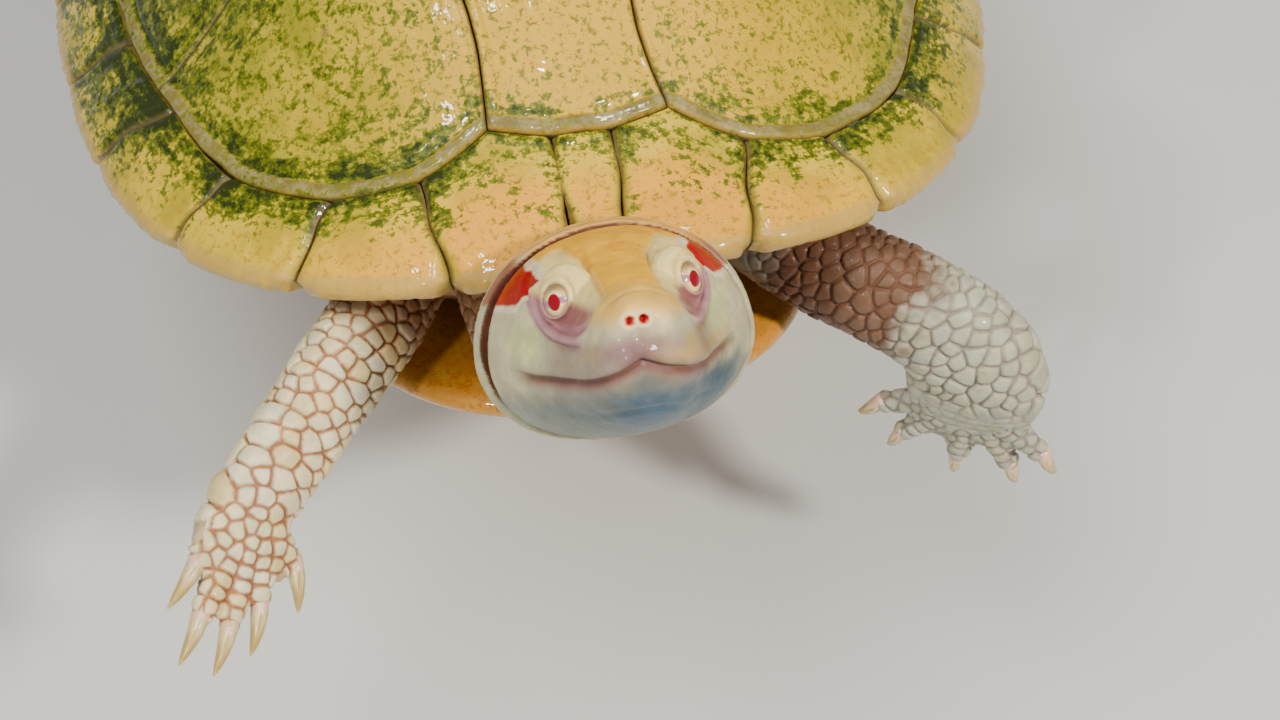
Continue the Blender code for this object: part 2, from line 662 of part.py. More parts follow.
def dorsal(frame, limb):
    """The unit normal on the foot's upper side, which faces up and forwards."""
    up = frame[2]
    facing = Vector((0, -0.7, 0.7)) if limb["sections"][0][0][1] < 0 else Vector((0, 0.3, 1.0))
    return up if up.dot(facing) > 0 else -up


def build_foot(shop, name, limb, palm):
    """Palm, web and toes united; each clawed toe gets a claw node just clear of its tip."""
    wrist, width, thickness = limb["sections"][-1]
    wrist = Vector(wrist)
    frame = frame_along(limb["aim"], limb["side"])
    across, forward, _ = frame
    back = dorsal(frame, limb)
    toes = limb["toes"]
    breadth = palm * math.sin(math.radians(toes[0][0] - toes[-1][0]) / 2) + TOE_FLESH
    rings = []
    for place, share, thick in PALM_STATIONS:
        half_width = width + (breadth - width) * share
        centre = wrist + forward * palm * place
        rings.append(ring_at(centre, across, back, half_width, thickness * thick, 12, 2.2))
    foot = shop.part(loft(rings), f"foot_{name}", "foot_skin")
    edge = []
    for index, (degrees, length) in enumerate(toes):
        edge.append((degrees, length * WEB_ON_TOE))
        if index + 1 < len(toes):
            following, other = toes[index + 1]
            edge.append(((degrees + following) / 2, min(length, other) * WEB_SETBACK))
    outline = [(breadth * WEB_ROOT[0], palm * WEB_ROOT[1])]
    for degrees, reach in edge:
        turn = math.radians(degrees)
        outline.append((math.sin(turn) * reach, math.cos(turn) * reach))
    outline.append((-breadth * WEB_ROOT[0], palm * WEB_ROOT[1]))
    web = prism(outline, (across, forward, back), -WEB_THICKNESS / 2, WEB_THICKNESS / 2)
    bmesh.ops.translate(web, vec=wrist, verts=web.verts)
    boolean(foot, "UNION", shop.cutter(web, f"web_{name}"))
    for number, (degrees, length) in enumerate(toes, 1):
        aim = toe_direction(frame, degrees)
        side = aim.cross(back)
        rings = [ring_at(wrist + aim * length * part, side, back, radius, radius * TOE_FLATNESS, 8)
                 for part, radius in TOE_STATIONS]
        boolean(foot, "UNION", shop.cutter(loft(rings), f"toe_{name}_{number}"))
        clawless = name.startswith("hind") and number == len(toes)
        if not clawless:
            root = wrist + aim * (length + CLAW_CLEARANCE)
            build_claw(shop, f"claw_{name}_{number}", root, (aim + forward).normalized(), back)


def build_claw(shop, name, root, aim, back):
    side = aim.cross(back)
    rings = []
    for part, radius in CLAW_STATIONS:
        centre = root + aim * CLAW_LENGTH * part - back * CLAW_DROOP * part ** 2
        tilt = (aim * CLAW_LENGTH - back * 2 * CLAW_DROOP * part).normalized()
        up = side.cross(tilt)
        rings.append(ring_at(centre, side, up, CLAW_RADIUS * radius, CLAW_RADIUS * radius, 6))
    shop.part(loft(rings), name, "claw_horn")


def build_limbs(shop, trunk_room):
    for name, limb in LIMBS.items():
        leg = shop.part(loft(limb_rings(limb)), f"leg_{name}", "limb_skin")
        boolean(leg, "DIFFERENCE", trunk_room)
        if name.startswith("front"):
            build_foot(shop, name, limb, FORE_PALM)
        else:
            build_foot(shop, name, limb, HIND_PALM)


def build_tail(shop, trunk_room):
    path = smooth_path([(*centre, radius) for centre, radius in TAIL_SECTIONS], 1)
    rings = []
    for index, values in enumerate(path):
        before, after = path[max(index - 1, 0)], path[min(index + 1, len(path) - 1)]
        across, _, up = frame_along(after[:3] - before[:3], (1, 0, 0))
        rings.append(ring_at(Vector(values[:3]), across, up, values[3], values[3] * TAIL_FLATNESS, 10))
    tail = shop.part(loft(rings), "tail", "tail_skin")
    boolean(tail, "DIFFERENCE", trunk_room)


# ---------------------------------------------------------------- stand

def build_stand(shop):
    width, length, height = BASE_SIZE
    bm = bmesh.new()
    bmesh.ops.create_cube(bm, size=1.0)
    bmesh.ops.scale(bm, vec=BASE_SIZE, verts=bm.verts)
    bmesh.ops.translate(bm, vec=(0, 0, height / 2), verts=bm.verts)
    upright = [edge for edge in bm.edges if abs(edge.verts[0].co.z - edge.verts[1].co.z) > height / 2]
    bmesh.ops.bevel(bm, geom=upright, offset=BASE_CORNER, segments=6, profile=0.5, affect="EDGES")
    top = [edge for edge in bm.edges if min(v.co.z for v in edge.verts) > height - 0.01]
    bmesh.ops.bevel(bm, geom=top, offset=BASE_EDGE, segments=2, profile=0.5, affect="EDGES")
    shop.part(bm, "stand_base", "stand_enamel", posed=False)
    for y, word in zip(ROD_PLACES, ("front", "rear")):
        bm = bmesh.new()
        bmesh.ops.create_cone(bm, cap_ends=True, segments=20, radius1=ROD_RADIUS,
                              radius2=ROD_RADIUS, depth=1.0)
        for vert in bm.verts:
            vert.co.y += y
            underside = BODY_LIFT - math.tan(NOSE_UP) * (vert.co.y - BODY_SHIFT)
            vert.co.z = height + GAP if vert.co.z < 0 else underside - GAP / math.cos(NOSE_UP)
        shop.part(bm, f"stand_rod_{word}", "stand_steel", posed=False)


def main():
    clear_scene()
    shop = Workshop()
    shell_room = shop.cutter(shell_solid(GAP), "shell_room")
    trunk_room = shop.cutter(trunk_solid(GAP), "trunk_room")
    build_carapace(shop)
    build_plastron(shop, shell_room)
    shop.part(trunk_solid(0.0), "trunk", "trunk_skin")
    build_head(shop)
    build_neck(shop, shell_room, trunk_room)
    build_limbs(shop, trunk_room)
    build_tail(shop, trunk_room)
    build_stand(shop)


main()
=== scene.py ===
# %% [markdown]
# # An albino red-eared slider, life-size, on a display stand
# The solids of this model give every piece its size and place. Here each of them gets the surface that
# the living animal has: horny plates with growth rings, wet scaled skin, eyes behind lids, claws of horn.
# The animal is worked out in its own level space, in millimetres, with its head towards -Y.
# One matrix then tips it nose up and lifts it over the stand.

import itertools
import math

import bmesh
import bpy
import numpy as np
from mathutils import Matrix, Vector, kdtree


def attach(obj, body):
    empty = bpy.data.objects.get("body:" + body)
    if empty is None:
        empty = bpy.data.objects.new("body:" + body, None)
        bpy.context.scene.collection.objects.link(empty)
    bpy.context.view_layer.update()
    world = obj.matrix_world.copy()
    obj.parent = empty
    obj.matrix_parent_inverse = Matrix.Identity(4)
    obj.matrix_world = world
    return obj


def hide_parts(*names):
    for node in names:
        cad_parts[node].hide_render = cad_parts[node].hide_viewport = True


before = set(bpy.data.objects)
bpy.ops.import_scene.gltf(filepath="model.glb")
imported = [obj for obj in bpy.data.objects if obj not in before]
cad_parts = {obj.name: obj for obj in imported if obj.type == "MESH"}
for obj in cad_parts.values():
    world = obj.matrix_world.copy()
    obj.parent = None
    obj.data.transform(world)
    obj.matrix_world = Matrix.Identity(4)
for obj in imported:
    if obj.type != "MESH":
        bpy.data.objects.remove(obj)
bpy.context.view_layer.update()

# %% Place the animal's space in the world
MM = 0.001
NOSE_UP = math.radians(12.0)
BODY_LIFT = 60.0
BODY_SHIFT = -16.0
POSE = (Matrix.Translation(Vector((0.0, BODY_SHIFT, BODY_LIFT)) * MM)
        @ Matrix.Rotation(-NOSE_UP, 4, "X") @ Matrix.Scale(MM, 4))
LEFT, RIGHT = 1, -1
SIDES = ((LEFT, "left"), (RIGHT, "right"))
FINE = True
print("one millimetre of the animal along its back is", POSE.to_3x3() @ Vector((0, 1, 0)))

# %% [markdown]
# ## Small tools
# A dense surface is quickest to shape as an array of points, so most helpers here work on numpy arrays.
# A mesh object could be sculpted with modifiers instead, but then each fold would need its own object.

# %% Mix, ramp and interpolate
def mix(low, high, share):
    return low + (high - low) * share


def ramp(start, end, value):
    """A smooth step from 0 at `start` to 1 at `end`, which may run downwards."""
    share = np.clip((value - start) / (end - start), 0.0, 1.0)
    return share * share * (3 - 2 * share)


def hump(value, width):
    """A bell one high, at value 0, that has all but gone two widths away."""
    return np.exp(-(value / width) ** 2)


def unit(vectors):
    return vectors / np.linalg.norm(vectors, axis=-1, keepdims=True)


def smooth_path(values, steps):
    """A Catmull-Rom curve through equal-length vectors, `steps` pieces to each span."""
    knots = [np.array(value, float) for value in values]
    knots = [2 * knots[0] - knots[1], *knots, 2 * knots[-1] - knots[-2]]
    path = []
    for a, b, c, d in zip(knots, knots[1:], knots[2:], knots[3:]):
        for step in range(steps):
            t = step / steps
            path.append(0.5 * (2 * b + (c - a) * t + (2 * a - 5 * b + 4 * c - d) * t * t
                               + (3 * b - a - 3 * c + d) * t ** 3))
    return np.array(path + [knots[-2]])


print("a quarter of the way up a ramp:", ramp(0, 1, 0.25))

# %% Make noise of a real size
LATTICE = 32


def noise(points, size, seed, octaves=1):
    """Smooth noise from -1 to 1 whose lumps are about `size` millimetres, with finer ones added."""
    total, weight = np.zeros(len(points)), 1.0
    for octave in range(octaves):
        lattice = np.random.default_rng(seed + octave).uniform(-1, 1, (LATTICE,) * 3)
        cell = points / size
        corner = np.floor(cell).astype(int)
        part = cell - corner
        part = part * part * (3 - 2 * part)
        for offset in itertools.product((0, 1), repeat=3):
            share = np.prod(np.where(offset, part, 1 - part), axis=-1)
            i, j, k = ((corner + offset) % LATTICE).T
            total += weight * share * lattice[i, j, k]
        size, weight = size / 2, weight / 2
    return total / (2 - 2 * weight)


print("noise of 5 mm at three places:", noise(np.diag((1, 9, 17)), 5, 1).round(2))

# %% Faces over a grid of points, and a fan that closes a ring
def grid_faces(rows, columns, wrap):
    """Quads of a grid whose points are numbered row by row; `wrap` joins the last column to the first."""
    across = np.arange(columns if wrap else columns - 1)
    row, column = np.meshgrid(np.arange(rows - 1), across, indexing="ij")
    low, following = row * columns, (column + 1) % columns
    quads = [low + column, low + following, low + columns + following, low + columns + column]
    return np.stack(quads, -1).reshape(-1, 4)


def fan_faces(centre, ring, outwards):
    following = np.roll(ring, -1)
    pair = (ring, following) if outwards else (following, ring)
    return np.stack([np.full(len(ring), centre), *pair], -1)

# %% Turn arrays into mesh objects
def in_scene(name, data):
    obj = bpy.data.objects.new(name, data)
    bpy.context.scene.collection.objects.link(obj)
    return obj


def mesh_object(name, points, faces, facts=()):
    """A smooth object from animal-space points. `facts` are (name, values), one value or colour a point."""
    world = points @ np.array(POSE.to_3x3()).T + np.array(POSE.translation)
    mesh = bpy.data.meshes.new(name)
    mesh.from_pydata(world, [], [face for group in faces for face in group.tolist()])
    kinds = {1: ("FLOAT", "value"), 3: ("FLOAT_VECTOR", "vector"), 4: ("FLOAT_COLOR", "color")}
    for fact, values in facts:
        kind, field = kinds[1 if values.ndim == 1 else values.shape[1]]
        layer = mesh.attributes.new(fact, kind, "POINT")
        layer.data.foreach_set(field, np.ascontiguousarray(values, np.float32).ravel())
    mesh.shade_smooth()
    return in_scene(name, mesh)


def finish_piece(obj, material, slot, *nodes):
    obj.data.materials.append(material)
    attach(obj, "root")
    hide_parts(*nodes)
    return obj

# %% Lofts
def oval(centre, across, up, half_width, half_height, count=40, squareness=2.1):
    """A closed ring of points round `centre`, a little squarer than an ellipse."""
    turn = 2 * np.pi * (np.arange(count) + 0.5) / count
    x = np.copysign(np.abs(np.cos(turn)) ** (2 / squareness), np.cos(turn)) * half_width
    z = np.copysign(np.abs(np.sin(turn)) ** (2 / squareness), np.sin(turn)) * half_height
    return centre + np.outer(x, across) + np.outer(z, up)


def loft(rings):
    """A closed tube through the rings, capped at both ends."""
    rings = np.array(rings)
    count, around = rings.shape[:2]
    points = np.concatenate([rings.reshape(-1, 3), rings[[0, -1]].mean(axis=1)])
    ring = np.arange(around)
    faces = [grid_faces(count, around, True), fan_faces(count * around, ring, False),
             fan_faces(count * around + 1, ring + (count - 1) * around, True)]
    return points, faces, []


def frame_along(direction, side):
    """Unit vectors across, forward and up, with across as near to `side` as the direction lets it be."""
    forward = unit(np.array(direction, float))
    across = np.array(side, float)
    across = unit(across - forward * (across @ forward))
    return across, forward, np.cross(across, forward)

# %% Join closed meshes into one
def outward_faces(points, faces):
    volume = 0.0
    for group in faces:
        corners = points[group]
        for step in range(1, group.shape[1] - 1):
            a, b, c = corners[:, 0], corners[:, step], corners[:, step + 1]
            volume += np.sum(a * np.cross(b, c))
    return faces if volume > 0 else [group[:, ::-1] for group in faces]


def joined(parts):
    points, faces, facts, offset = [], [], {}, 0
    for own_points, own_faces, own_facts in parts:
        faces += [group + offset for group in outward_faces(own_points, own_faces)]
        points.append(own_points)
        offset += len(own_points)
        for key, values in own_facts:
            facts.setdefault(key, []).append(values)
    return np.concatenate(points), faces, [(key, np.concatenate(values)) for key, values in facts.items()]

# %% [markdown]
# ## Colours and materials
# Keratin is the horn of scutes and claws: clear, smooth and slightly yellow, over the colour beneath it.
# Skin is softer, lets light in a little way, and shines because it is wet. Each material reads facts that
# the meshes carry, such as how far a point is from the nearest seam, and adds grain in real millimetres.

# %% Colour and node helpers
def linear(code):
    values = [int(code[i:i + 2], 16) / 255 for i in (1, 3, 5)]
    return (*(v / 12.92 if v <= 0.04045 else ((v + 0.055) / 1.055) ** 2.4 for v in values), 1.0)


def add(tree, kind, inputs=(), **settings):
    """Adds one node, with its settings, and its inputs set or linked by name or number."""
    node = tree.nodes.new(kind)
    for setting, value in settings.items():
        setattr(node, setting, value)
    for socket, value in dict(inputs).items():
        if isinstance(value, bpy.types.NodeSocket):
            tree.links.new(value, node.inputs[socket])
        else:
            node.inputs[socket].default_value = value
    return node


def new_material(name, **sockets):
    """A material with a Principled shader whose even values are set on its own sockets."""
    material = bpy.data.materials.new(name)
    material.use_nodes = True
    shader = material.node_tree.nodes["Principled BSDF"]
    for socket, value in sockets.items():
        shader.inputs[socket.replace("_", " ")].default_value = value
    return material, material.node_tree, shader


def blend(tree, factor, first, second, mode="MIX"):
    """The colour of `first` mixed with `second`; sockets, colours or hex values."""
    first, second = (linear(value) if isinstance(value, str) else value for value in (first, second))
    return add(tree, "ShaderNodeMix", {0: factor, 6: first, 7: second},
               data_type="RGBA", blend_type=mode).outputs[2]


def fact(tree, name, output="Fac"):
    return add(tree, "ShaderNodeAttribute", attribute_name=name).outputs[output]


def between(tree, value, low, high):
    """0 below `low` and 1 above `high`, smoothly."""
    return add(tree, "ShaderNodeMapRange", {"Value": value, "From Min": low, "From Max": high},
               interpolation_type="SMOOTHSTEP").outputs["Result"]


def lumps(tree, vector, size, detail=2.0, roughness=0.5):
    """Noise whose lumps are about `size` millimetres."""
    return add(tree, "ShaderNodeTexNoise", {"Vector": vector, "Scale": 1.0 / size, "Detail": detail,
                                            "Roughness": roughness}).outputs["Fac"]


def stretched(tree, vector, scale):
    return add(tree, "ShaderNodeMapping", {"Vector": vector, "Scale": scale}).outputs["Vector"]


def total(tree, first, second, factor=1.0):
    return add(tree, "ShaderNodeMath", {0: second, 1: factor, 2: first}, operation="MULTIPLY_ADD").outputs[0]


def bumpy(tree, shader, socket, height, strength, depth):
    """Tilts the shader's normals as if the surface were `depth` metres deep where `height` is 1."""
    bump = add(tree, "ShaderNodeBump", {"Height": height, "Strength": strength, "Distance": depth})
    tree.links.new(bump.outputs["Normal"], shader.inputs[socket])

# %% [markdown]
# ### Scute keratin
# A slider's scutes are sheets of clear horn. An albino has no dark pigment, so ochre and orange show
# through, and the green in the grooves and along the growth rings is algae that lives on the shell.
# Horn has an IOR near 1.55. Water lies on it, and where horn meets water it mirrors far less than in
# air, so its own gloss is turned down and a clear coat of water's IOR takes over. The film is not flat:
# shallow waves in it break each lamp's mirror image into small crisp glints.

# %% Scute keratin
STREAK_MM = 1.6     # fibres along the growth lines
CLOUD_MM = 9.0      # slow changes of the horn's yellow
SPECK_MM = 1.1      # single tufts of algae and pits
BLOT_MM = 3.4       # patches of algae
PIT_MM = 0.45       # the grain that wear leaves
WATER_WAVE_MM = 3.0  # waves in the film of water
PIT_DEPTH = 0.2 * MM
WAVE_DEPTH = 0.22 * MM


def scute_keratin(name, pale, base, warm, tone_and_painted_light):
    material, tree, shader = new_material(name, Roughness=0.34, IOR=1.55, Specular_IOR_Level=0.15,
                                          Coat_Weight=0.7, Coat_Roughness=0.02, Coat_IOR=1.33)
    grain = fact(tree, "grain_mm", "Vector")
    place = fact(tree, "place_mm", "Vector")
    streak = lumps(tree, stretched(tree, grain, (0.22, 0.22, 1.15)), STREAK_MM, 5.0, 0.62)
    clouds = lumps(tree, place, CLOUD_MM, 4.0, 0.6)
    specks = lumps(tree, place, SPECK_MM, 6.0, 0.72)
    blots = lumps(tree, place, BLOT_MM, 8.0, 0.75)
    colour = blend(tree, between(tree, clouds, 0.4, 0.6), base, pale)
    # Brighter, warmer horn near the head is painted light.
    colour = blend(tree, fact(tree, "tone_and_painted_light"), colour, tone_and_painted_light)
    band = blend(tree, between(tree, blots, 0.4, 0.6), "#6f6530", "#94875a")
    colour = blend(tree, fact(tree, "band"), colour, band)
    colour = blend(tree, between(tree, specks, 0.52, 0.6), colour, warm)
    stain = total(tree, fact(tree, "stain"), between(tree, specks, 0.4, 0.6), 0.32)
    stain = total(tree, stain, between(tree, blots, 0.4, 0.6), 0.3)
    stain = total(tree, stain, between(tree, streak, 0.38, 0.62), 0.25)
    for thin, thick, algae in ((0.6, 0.72, "#6c7014"), (0.78, 0.92, "#46500c"), (0.98, 1.12, "#262f07")):
        colour = blend(tree, between(tree, stain, thin, thick), colour, algae)
    colour = blend(tree, fact(tree, "rim"), colour, "#b8974a")
    colour = blend(tree, fact(tree, "seam"), colour, "#6a5a38")
    tree.links.new(colour, shader.inputs["Base Color"])
    rough = add(tree, "ShaderNodeMapRange", {"Value": specks, "From Min": 0.35, "From Max": 0.7,
                                             "To Min": 0.26, "To Max": 0.48}).outputs["Result"]
    tree.links.new(rough, shader.inputs["Roughness"])
    height = total(tree, total(tree, specks, streak, 1.4), lumps(tree, place, PIT_MM, 2.0), 0.35)
    bumpy(tree, shader, "Normal", height, 0.6, PIT_DEPTH)
    bumpy(tree, shader, "Coat Normal", lumps(tree, place, WATER_WAVE_MM, 1.0), 1.0, WAVE_DEPTH)
    return material


costal_finish = scute_keratin("worn keratin, ochre with algae", "#b09e2c", "#8d881f", "#7f7416", "#d3a422")
marginal_finish = scute_keratin("worn keratin, yellow rim scutes", "#cfb22e", "#ac9822", "#b08a1c",
                                "#eda22a")
plastron_finish = scute_keratin("smooth keratin, underside", "#d79f3c", "#c98625", "#c7761f", "#e09a30")
print("keratin finishes:", 3)

# %% [markdown]
# ### Wet skin
# The skin's own colours, and some painted shade and painted reflection, are laid on the mesh point by point,
# as markings follow the anatomy: this material adds what is finer than the mesh, the pores and blotches, and
# the wet film over them.
# Living tissue scatters light, so a little subsurface light softens the shadows. Where it is loose and
# unscaled, between neck and shell, it is granular, and each grain is a small cell with a rounded top.

# %% Wet skin
BLOTCH_MM = 3.5      # blood showing through, in patches
PORE_MM = 0.35       # pores and creases
GRANULE_MM = 0.8     # grains of the loose skin
PORE_DEPTH = 0.14 * MM
SCATTER_DEPTH = 1.6 * MM


def wet_skin():
    material, tree, shader = new_material(
        "wet albino skin", IOR=1.4, Specular_IOR_Level=0.2, Coat_Weight=0.18, Coat_Roughness=0.04,
        Coat_IOR=1.33, Subsurface_Weight=0.12, Subsurface_Radius=(1.0, 0.45, 0.3),
        Subsurface_Scale=SCATTER_DEPTH)
    place = fact(tree, "place_mm", "Vector")
    skin_colour_and_painted_light = fact(tree, "skin_colour_and_painted_light", "Color")
    blotches = between(tree, lumps(tree, place, BLOTCH_MM, 4.0, 0.6), 0.36, 0.66)
    pores = lumps(tree, place, PORE_MM, 3.0, 0.6)
    shade = blend(tree, blotches, (0.86, 0.84, 0.82, 1.0), (1.07, 1.05, 1.03, 1.0))
    colour = blend(tree, 1.0, skin_colour_and_painted_light, shade, "MULTIPLY")
    colour = blend(tree, between(tree, pores, 0.62, 0.85), colour, (0.5, 0.36, 0.26, 1.0), "SOFT_LIGHT")
    tree.links.new(colour, shader.inputs["Base Color"])
    rough = add(tree, "ShaderNodeMapRange", {"Value": pores, "From Min": 0.3, "From Max": 0.7,
                                             "To Min": 0.3, "To Max": 0.46}).outputs["Result"]
    tree.links.new(rough, shader.inputs["Roughness"])
    coarse = fact(tree, "coarse")
    grains = add(tree, "ShaderNodeTexVoronoi", {"Vector": place, "Scale": 1.0 / GRANULE_MM},
                 feature="SMOOTH_F1").outputs["Distance"]
    grains = add(tree, "ShaderNodeMath", {0: grains, 1: coarse}, operation="MULTIPLY").outputs[0]
    bumpy(tree, shader, "Normal", total(tree, pores, grains, -2.2), 0.5, PORE_DEPTH)
    return material


skin_finish = wet_skin()
print("skin finish:", skin_finish.name, "with", len(skin_finish.node_tree.nodes), "nodes")

# %% [markdown]
# ## The carapace
# The carapace is a dome of bone under horny plates called scutes. Its dome is one formula: a turn
# round the shell from the head, and a reach from its middle (0) to its rim (1). The scutes could be cut
# from one dense sheet, but an edge cut across a grid is ragged, so each gets its own mesh that starts
# from its outline. Growth rings then lie parallel to the seams by themselves, as on the animal.

# %% The shell's dome
HALF_LENGTH = 101.5
HALF_WIDTH = 83.7
SHELL_TOP = 76.0
SQUARENESS = 2.5
WIDENING = 0.06
RIM_HEIGHTS = (39.5, 26, 24.6, 27, 29)
ARCH_POWER = (1.87, 2.25)
FLARE = (0.12, 0.05)
SHELL_THICKNESS = 4.0
GAP = 0.3

series_turns = np.linspace(0.0, math.pi, len(RIM_HEIGHTS))
RIM_SERIES = np.linalg.solve(np.cos(np.outer(series_turns, np.arange(len(RIM_HEIGHTS)))), RIM_HEIGHTS)


def plan_radius(turn):
    side, ahead = np.abs(np.sin(turn)), np.cos(turn)
    radius = np.full_like(side, HALF_LENGTH)
    for _ in range(8):
        half_width = HALF_WIDTH * (1 - WIDENING * radius * ahead / HALF_LENGTH)
        radius = ((side / half_width) ** SQUARENESS
                  + (np.abs(ahead) / HALF_LENGTH) ** SQUARENESS) ** (-1 / SQUARENESS)
    return radius


def dome_height(plan):
    turn = np.arctan2(plan[:, 0], -plan[:, 1])
    reach = np.hypot(plan[:, 0], plan[:, 1]) / plan_radius(turn)
    sideways = np.sin(turn) ** 2
    power = mix(ARCH_POWER[0], ARCH_POWER[1], sideways)
    hollow = np.sin(np.pi * np.clip((reach - 0.55) / 0.45, 0.0, 1.0)) ** 2
    rise = 1 - reach ** power - mix(FLARE[0], FLARE[1], sideways) * hollow
    rim = np.cos(np.outer(turn, np.arange(len(RIM_SERIES)))) @ RIM_SERIES
    return rim + (SHELL_TOP - rim) * rise


def on_dome(plan, depth):
    """Points `depth` under the shell's surface, measured square to it."""
    step = 0.05
    height = dome_height(plan)
    slopes = [(dome_height(plan + np.eye(2)[axis] * step) - height) / step for axis in (0, 1)]
    normal = unit(np.stack([-slopes[0], -slopes[1], np.ones(len(plan))], -1))
    return np.column_stack([plan, height]) - normal * np.reshape(depth, (-1, 1))


print("rim heights from front to back, mm:", RIM_HEIGHTS)

# %% Seams between the scutes
BAND = ((0, 0.785), (3.3, 0.787), (10.2, 0.768), (17, 0.833), (26, 0.868), (39, 0.873), (52, 0.848),
        (68, 0.855), (90, 0.858), (120, 0.85), (150, 0.835), (180, 0.82))
COSTAL_TURNS = (10.2, 57, 92, 127, 163)
JOINTS = ((13.2, -45), (14, -9), (13, 28), (9, 60))
CORNERS = ((12.4, -67), (21, -31), (21.5, 8), (19, 44))
ROW_SWAY = -3.2
SWAY_CENTRE = -50.0
SWAY_LENGTH = 18.0
SEAM_STEP = 0.8 if FINE else 1.6


def plan_point(turn, reach):
    radius = plan_radius(np.array(turn, float)) * reach
    return np.stack([radius * np.sin(turn), -radius * np.cos(turn)], -1)


def band_points(degrees):
    """Where the rim scutes meet the ones inside them, at each of some turns in degrees."""
    turns, reaches = zip(*BAND)
    return plan_point(np.radians(degrees), np.interp(np.abs(degrees), turns, reaches))


def row_point(side, place):
    sway = ROW_SWAY * math.exp(-((place[1] - SWAY_CENTRE) / SWAY_LENGTH) ** 2)
    return np.array((side * place[0] + sway, place[1]))


def seam(points, waver=0.5):
    """A seam through a few points: evenly spaced, rounded at its bends and a little wavy, ends held."""
    points = np.array(points)
    lengths = np.r_[0, np.cumsum(np.linalg.norm(np.diff(points, axis=0), axis=1))]
    count = max(4, round(lengths[-1] / SEAM_STEP))
    places = np.linspace(0, lengths[-1], count + 1)
    line = np.stack([np.interp(places, lengths, points[:, axis]) for axis in (0, 1)], -1)
    for _ in range(6):
        line[1:-1] = (line[:-2] + 2 * line[1:-1] + line[2:]) / 4
    held = np.minimum(ramp(0, 4, places), ramp(0, 4, lengths[-1] - places))
    spots = np.column_stack([line, np.zeros(len(line))])
    for axis in (0, 1):
        line[:, axis] += waver * held * noise(spots, 7, 5 + axis, 2)
    return line


def band_seam(side, start, end):
    degrees = np.linspace(start, end, 24)
    return seam(band_points(side * degrees), 0.3)


def scute_seams():
    """Each scute inside the rim as a list of seams that run round it, with True on the rim's band."""
    scutes = {}
    for side, word in SIDES:
        joints = [row_point(side, place) for place in JOINTS]
        corners = [row_point(side, place) for place in CORNERS]
        first = band_points(np.array([side * COSTAL_TURNS[0]]))[0]
        last = band_points(np.array([side * COSTAL_TURNS[4]]))[0]
        along = [seam([first, corners[0], joints[0]])]
        for number in (1, 2, 3):
            along += [seam([joints[number - 1], corners[number]]), seam([corners[number], joints[number]])]
        along.append(seam([joints[3], last]))
        across = [seam([corners[number], band_points(np.array([side * COSTAL_TURNS[number]]))[0]])
                  for number in (1, 2, 3)]
        bands = [band_seam(side, COSTAL_TURNS[n], COSTAL_TURNS[n + 1]) for n in range(4)]
        for n in range(4):
            behind = [across[n][::-1]] if n < 3 else []
            ahead = [across[n - 1]] if n > 0 else []
            inside = [*behind, along[2 * n + 1][::-1], along[2 * n][::-1], *ahead]
            scutes[f"costal_{word}_{n + 1}"] = [(bands[n], True), *((line, False) for line in inside)]
        scutes[word] = along
    rows = {side: scutes.pop(word) for side, word in SIDES}
    joined = [seam([row_point(LEFT, place), row_point(RIGHT, place)]) for place in JOINTS]
    front = band_seam(1, -COSTAL_TURNS[0], COSTAL_TURNS[0])
    rear = seam(band_points(np.r_[np.linspace(163, 180, 12), np.linspace(-179, -163, 12)]), 0.3)
    scutes["vertebral_1"] = [(front, True), (rows[LEFT][0], False), (joined[0], False),
                             (rows[RIGHT][0][::-1], False)]
    for number in (2, 3, 4):
        halves = [2 * number - 3, 2 * number - 2]
        scutes[f"vertebral_{number}"] = [
            *((rows[LEFT][half], False) for half in halves), (joined[number - 1], False),
            *((rows[RIGHT][half][::-1], False) for half in halves[::-1]), (joined[number - 2][::-1], False)]
    scutes["vertebral_5"] = [(rows[LEFT][7], False), (rear, True), (rows[RIGHT][7][::-1], False),
                             (joined[3][::-1], False)]
    return scutes


SCUTES = scute_seams()
print("scutes inside the rim:", len(SCUTES))

# %% [markdown]
# A scute is built as rings, from its middle out to its outline, then down its edge and back under it.
# The rings are close together near the edge, where the seam dips, the pale new growth stands up as a
# band beside the rim scutes, and the fine growth lines are.

# %% Distance to the seams, and the growth lines beside them
FAR_AWAY = 99.0


def distance_to(points, starts, ends):
    run = ends - starts
    best = np.full(len(points), FAR_AWAY)
    for a, d in zip(starts, run):
        share = np.clip((points - a) @ d / max(d @ d, 1e-9), 0, 1)
        best = np.minimum(best, np.linalg.norm(points - a - share[:, None] * d, axis=1))
    return best


def growth_lines(edge, place):
    wobble = edge + 0.9 * noise(place, 11, 21) + 0.3 * noise(place, 3, 22)
    fade = ramp(24, 3, edge)
    return fade * (0.055 * np.sin(wobble * 2.9) + 0.04 * np.sin(wobble * 1.37 + 1.0))

# %% Height and colour facts over a scute
NEW_GROWTH = 2.5      # width of the pale band of this year's growth, mm
HIGHEST = 0.15        # nothing on a scute stands above the dome by more, mm
NAPE = (4.0, -66.0)   # just behind the head: less algae is laid there, and the horn is painted brighter and warmer as painted light


def scute_height(place, edge, band):
    new_growth = ramp(NEW_GROWTH, 2, band)
    height = (0.45 * (ramp(0, 13, edge) - 1) - 0.7 * hump(edge, 0.4) - 0.12 * hump(edge - 1.3, 0.5)
              + 0.3 * new_growth * hump(band - 1.2, 1.3) - 0.26 * hump(band - 2.6, 0.4)
              + (1 - new_growth) * growth_lines(edge, place) + 0.12 * noise(place, 16, 3, 2))
    return np.minimum(height, HIGHEST)


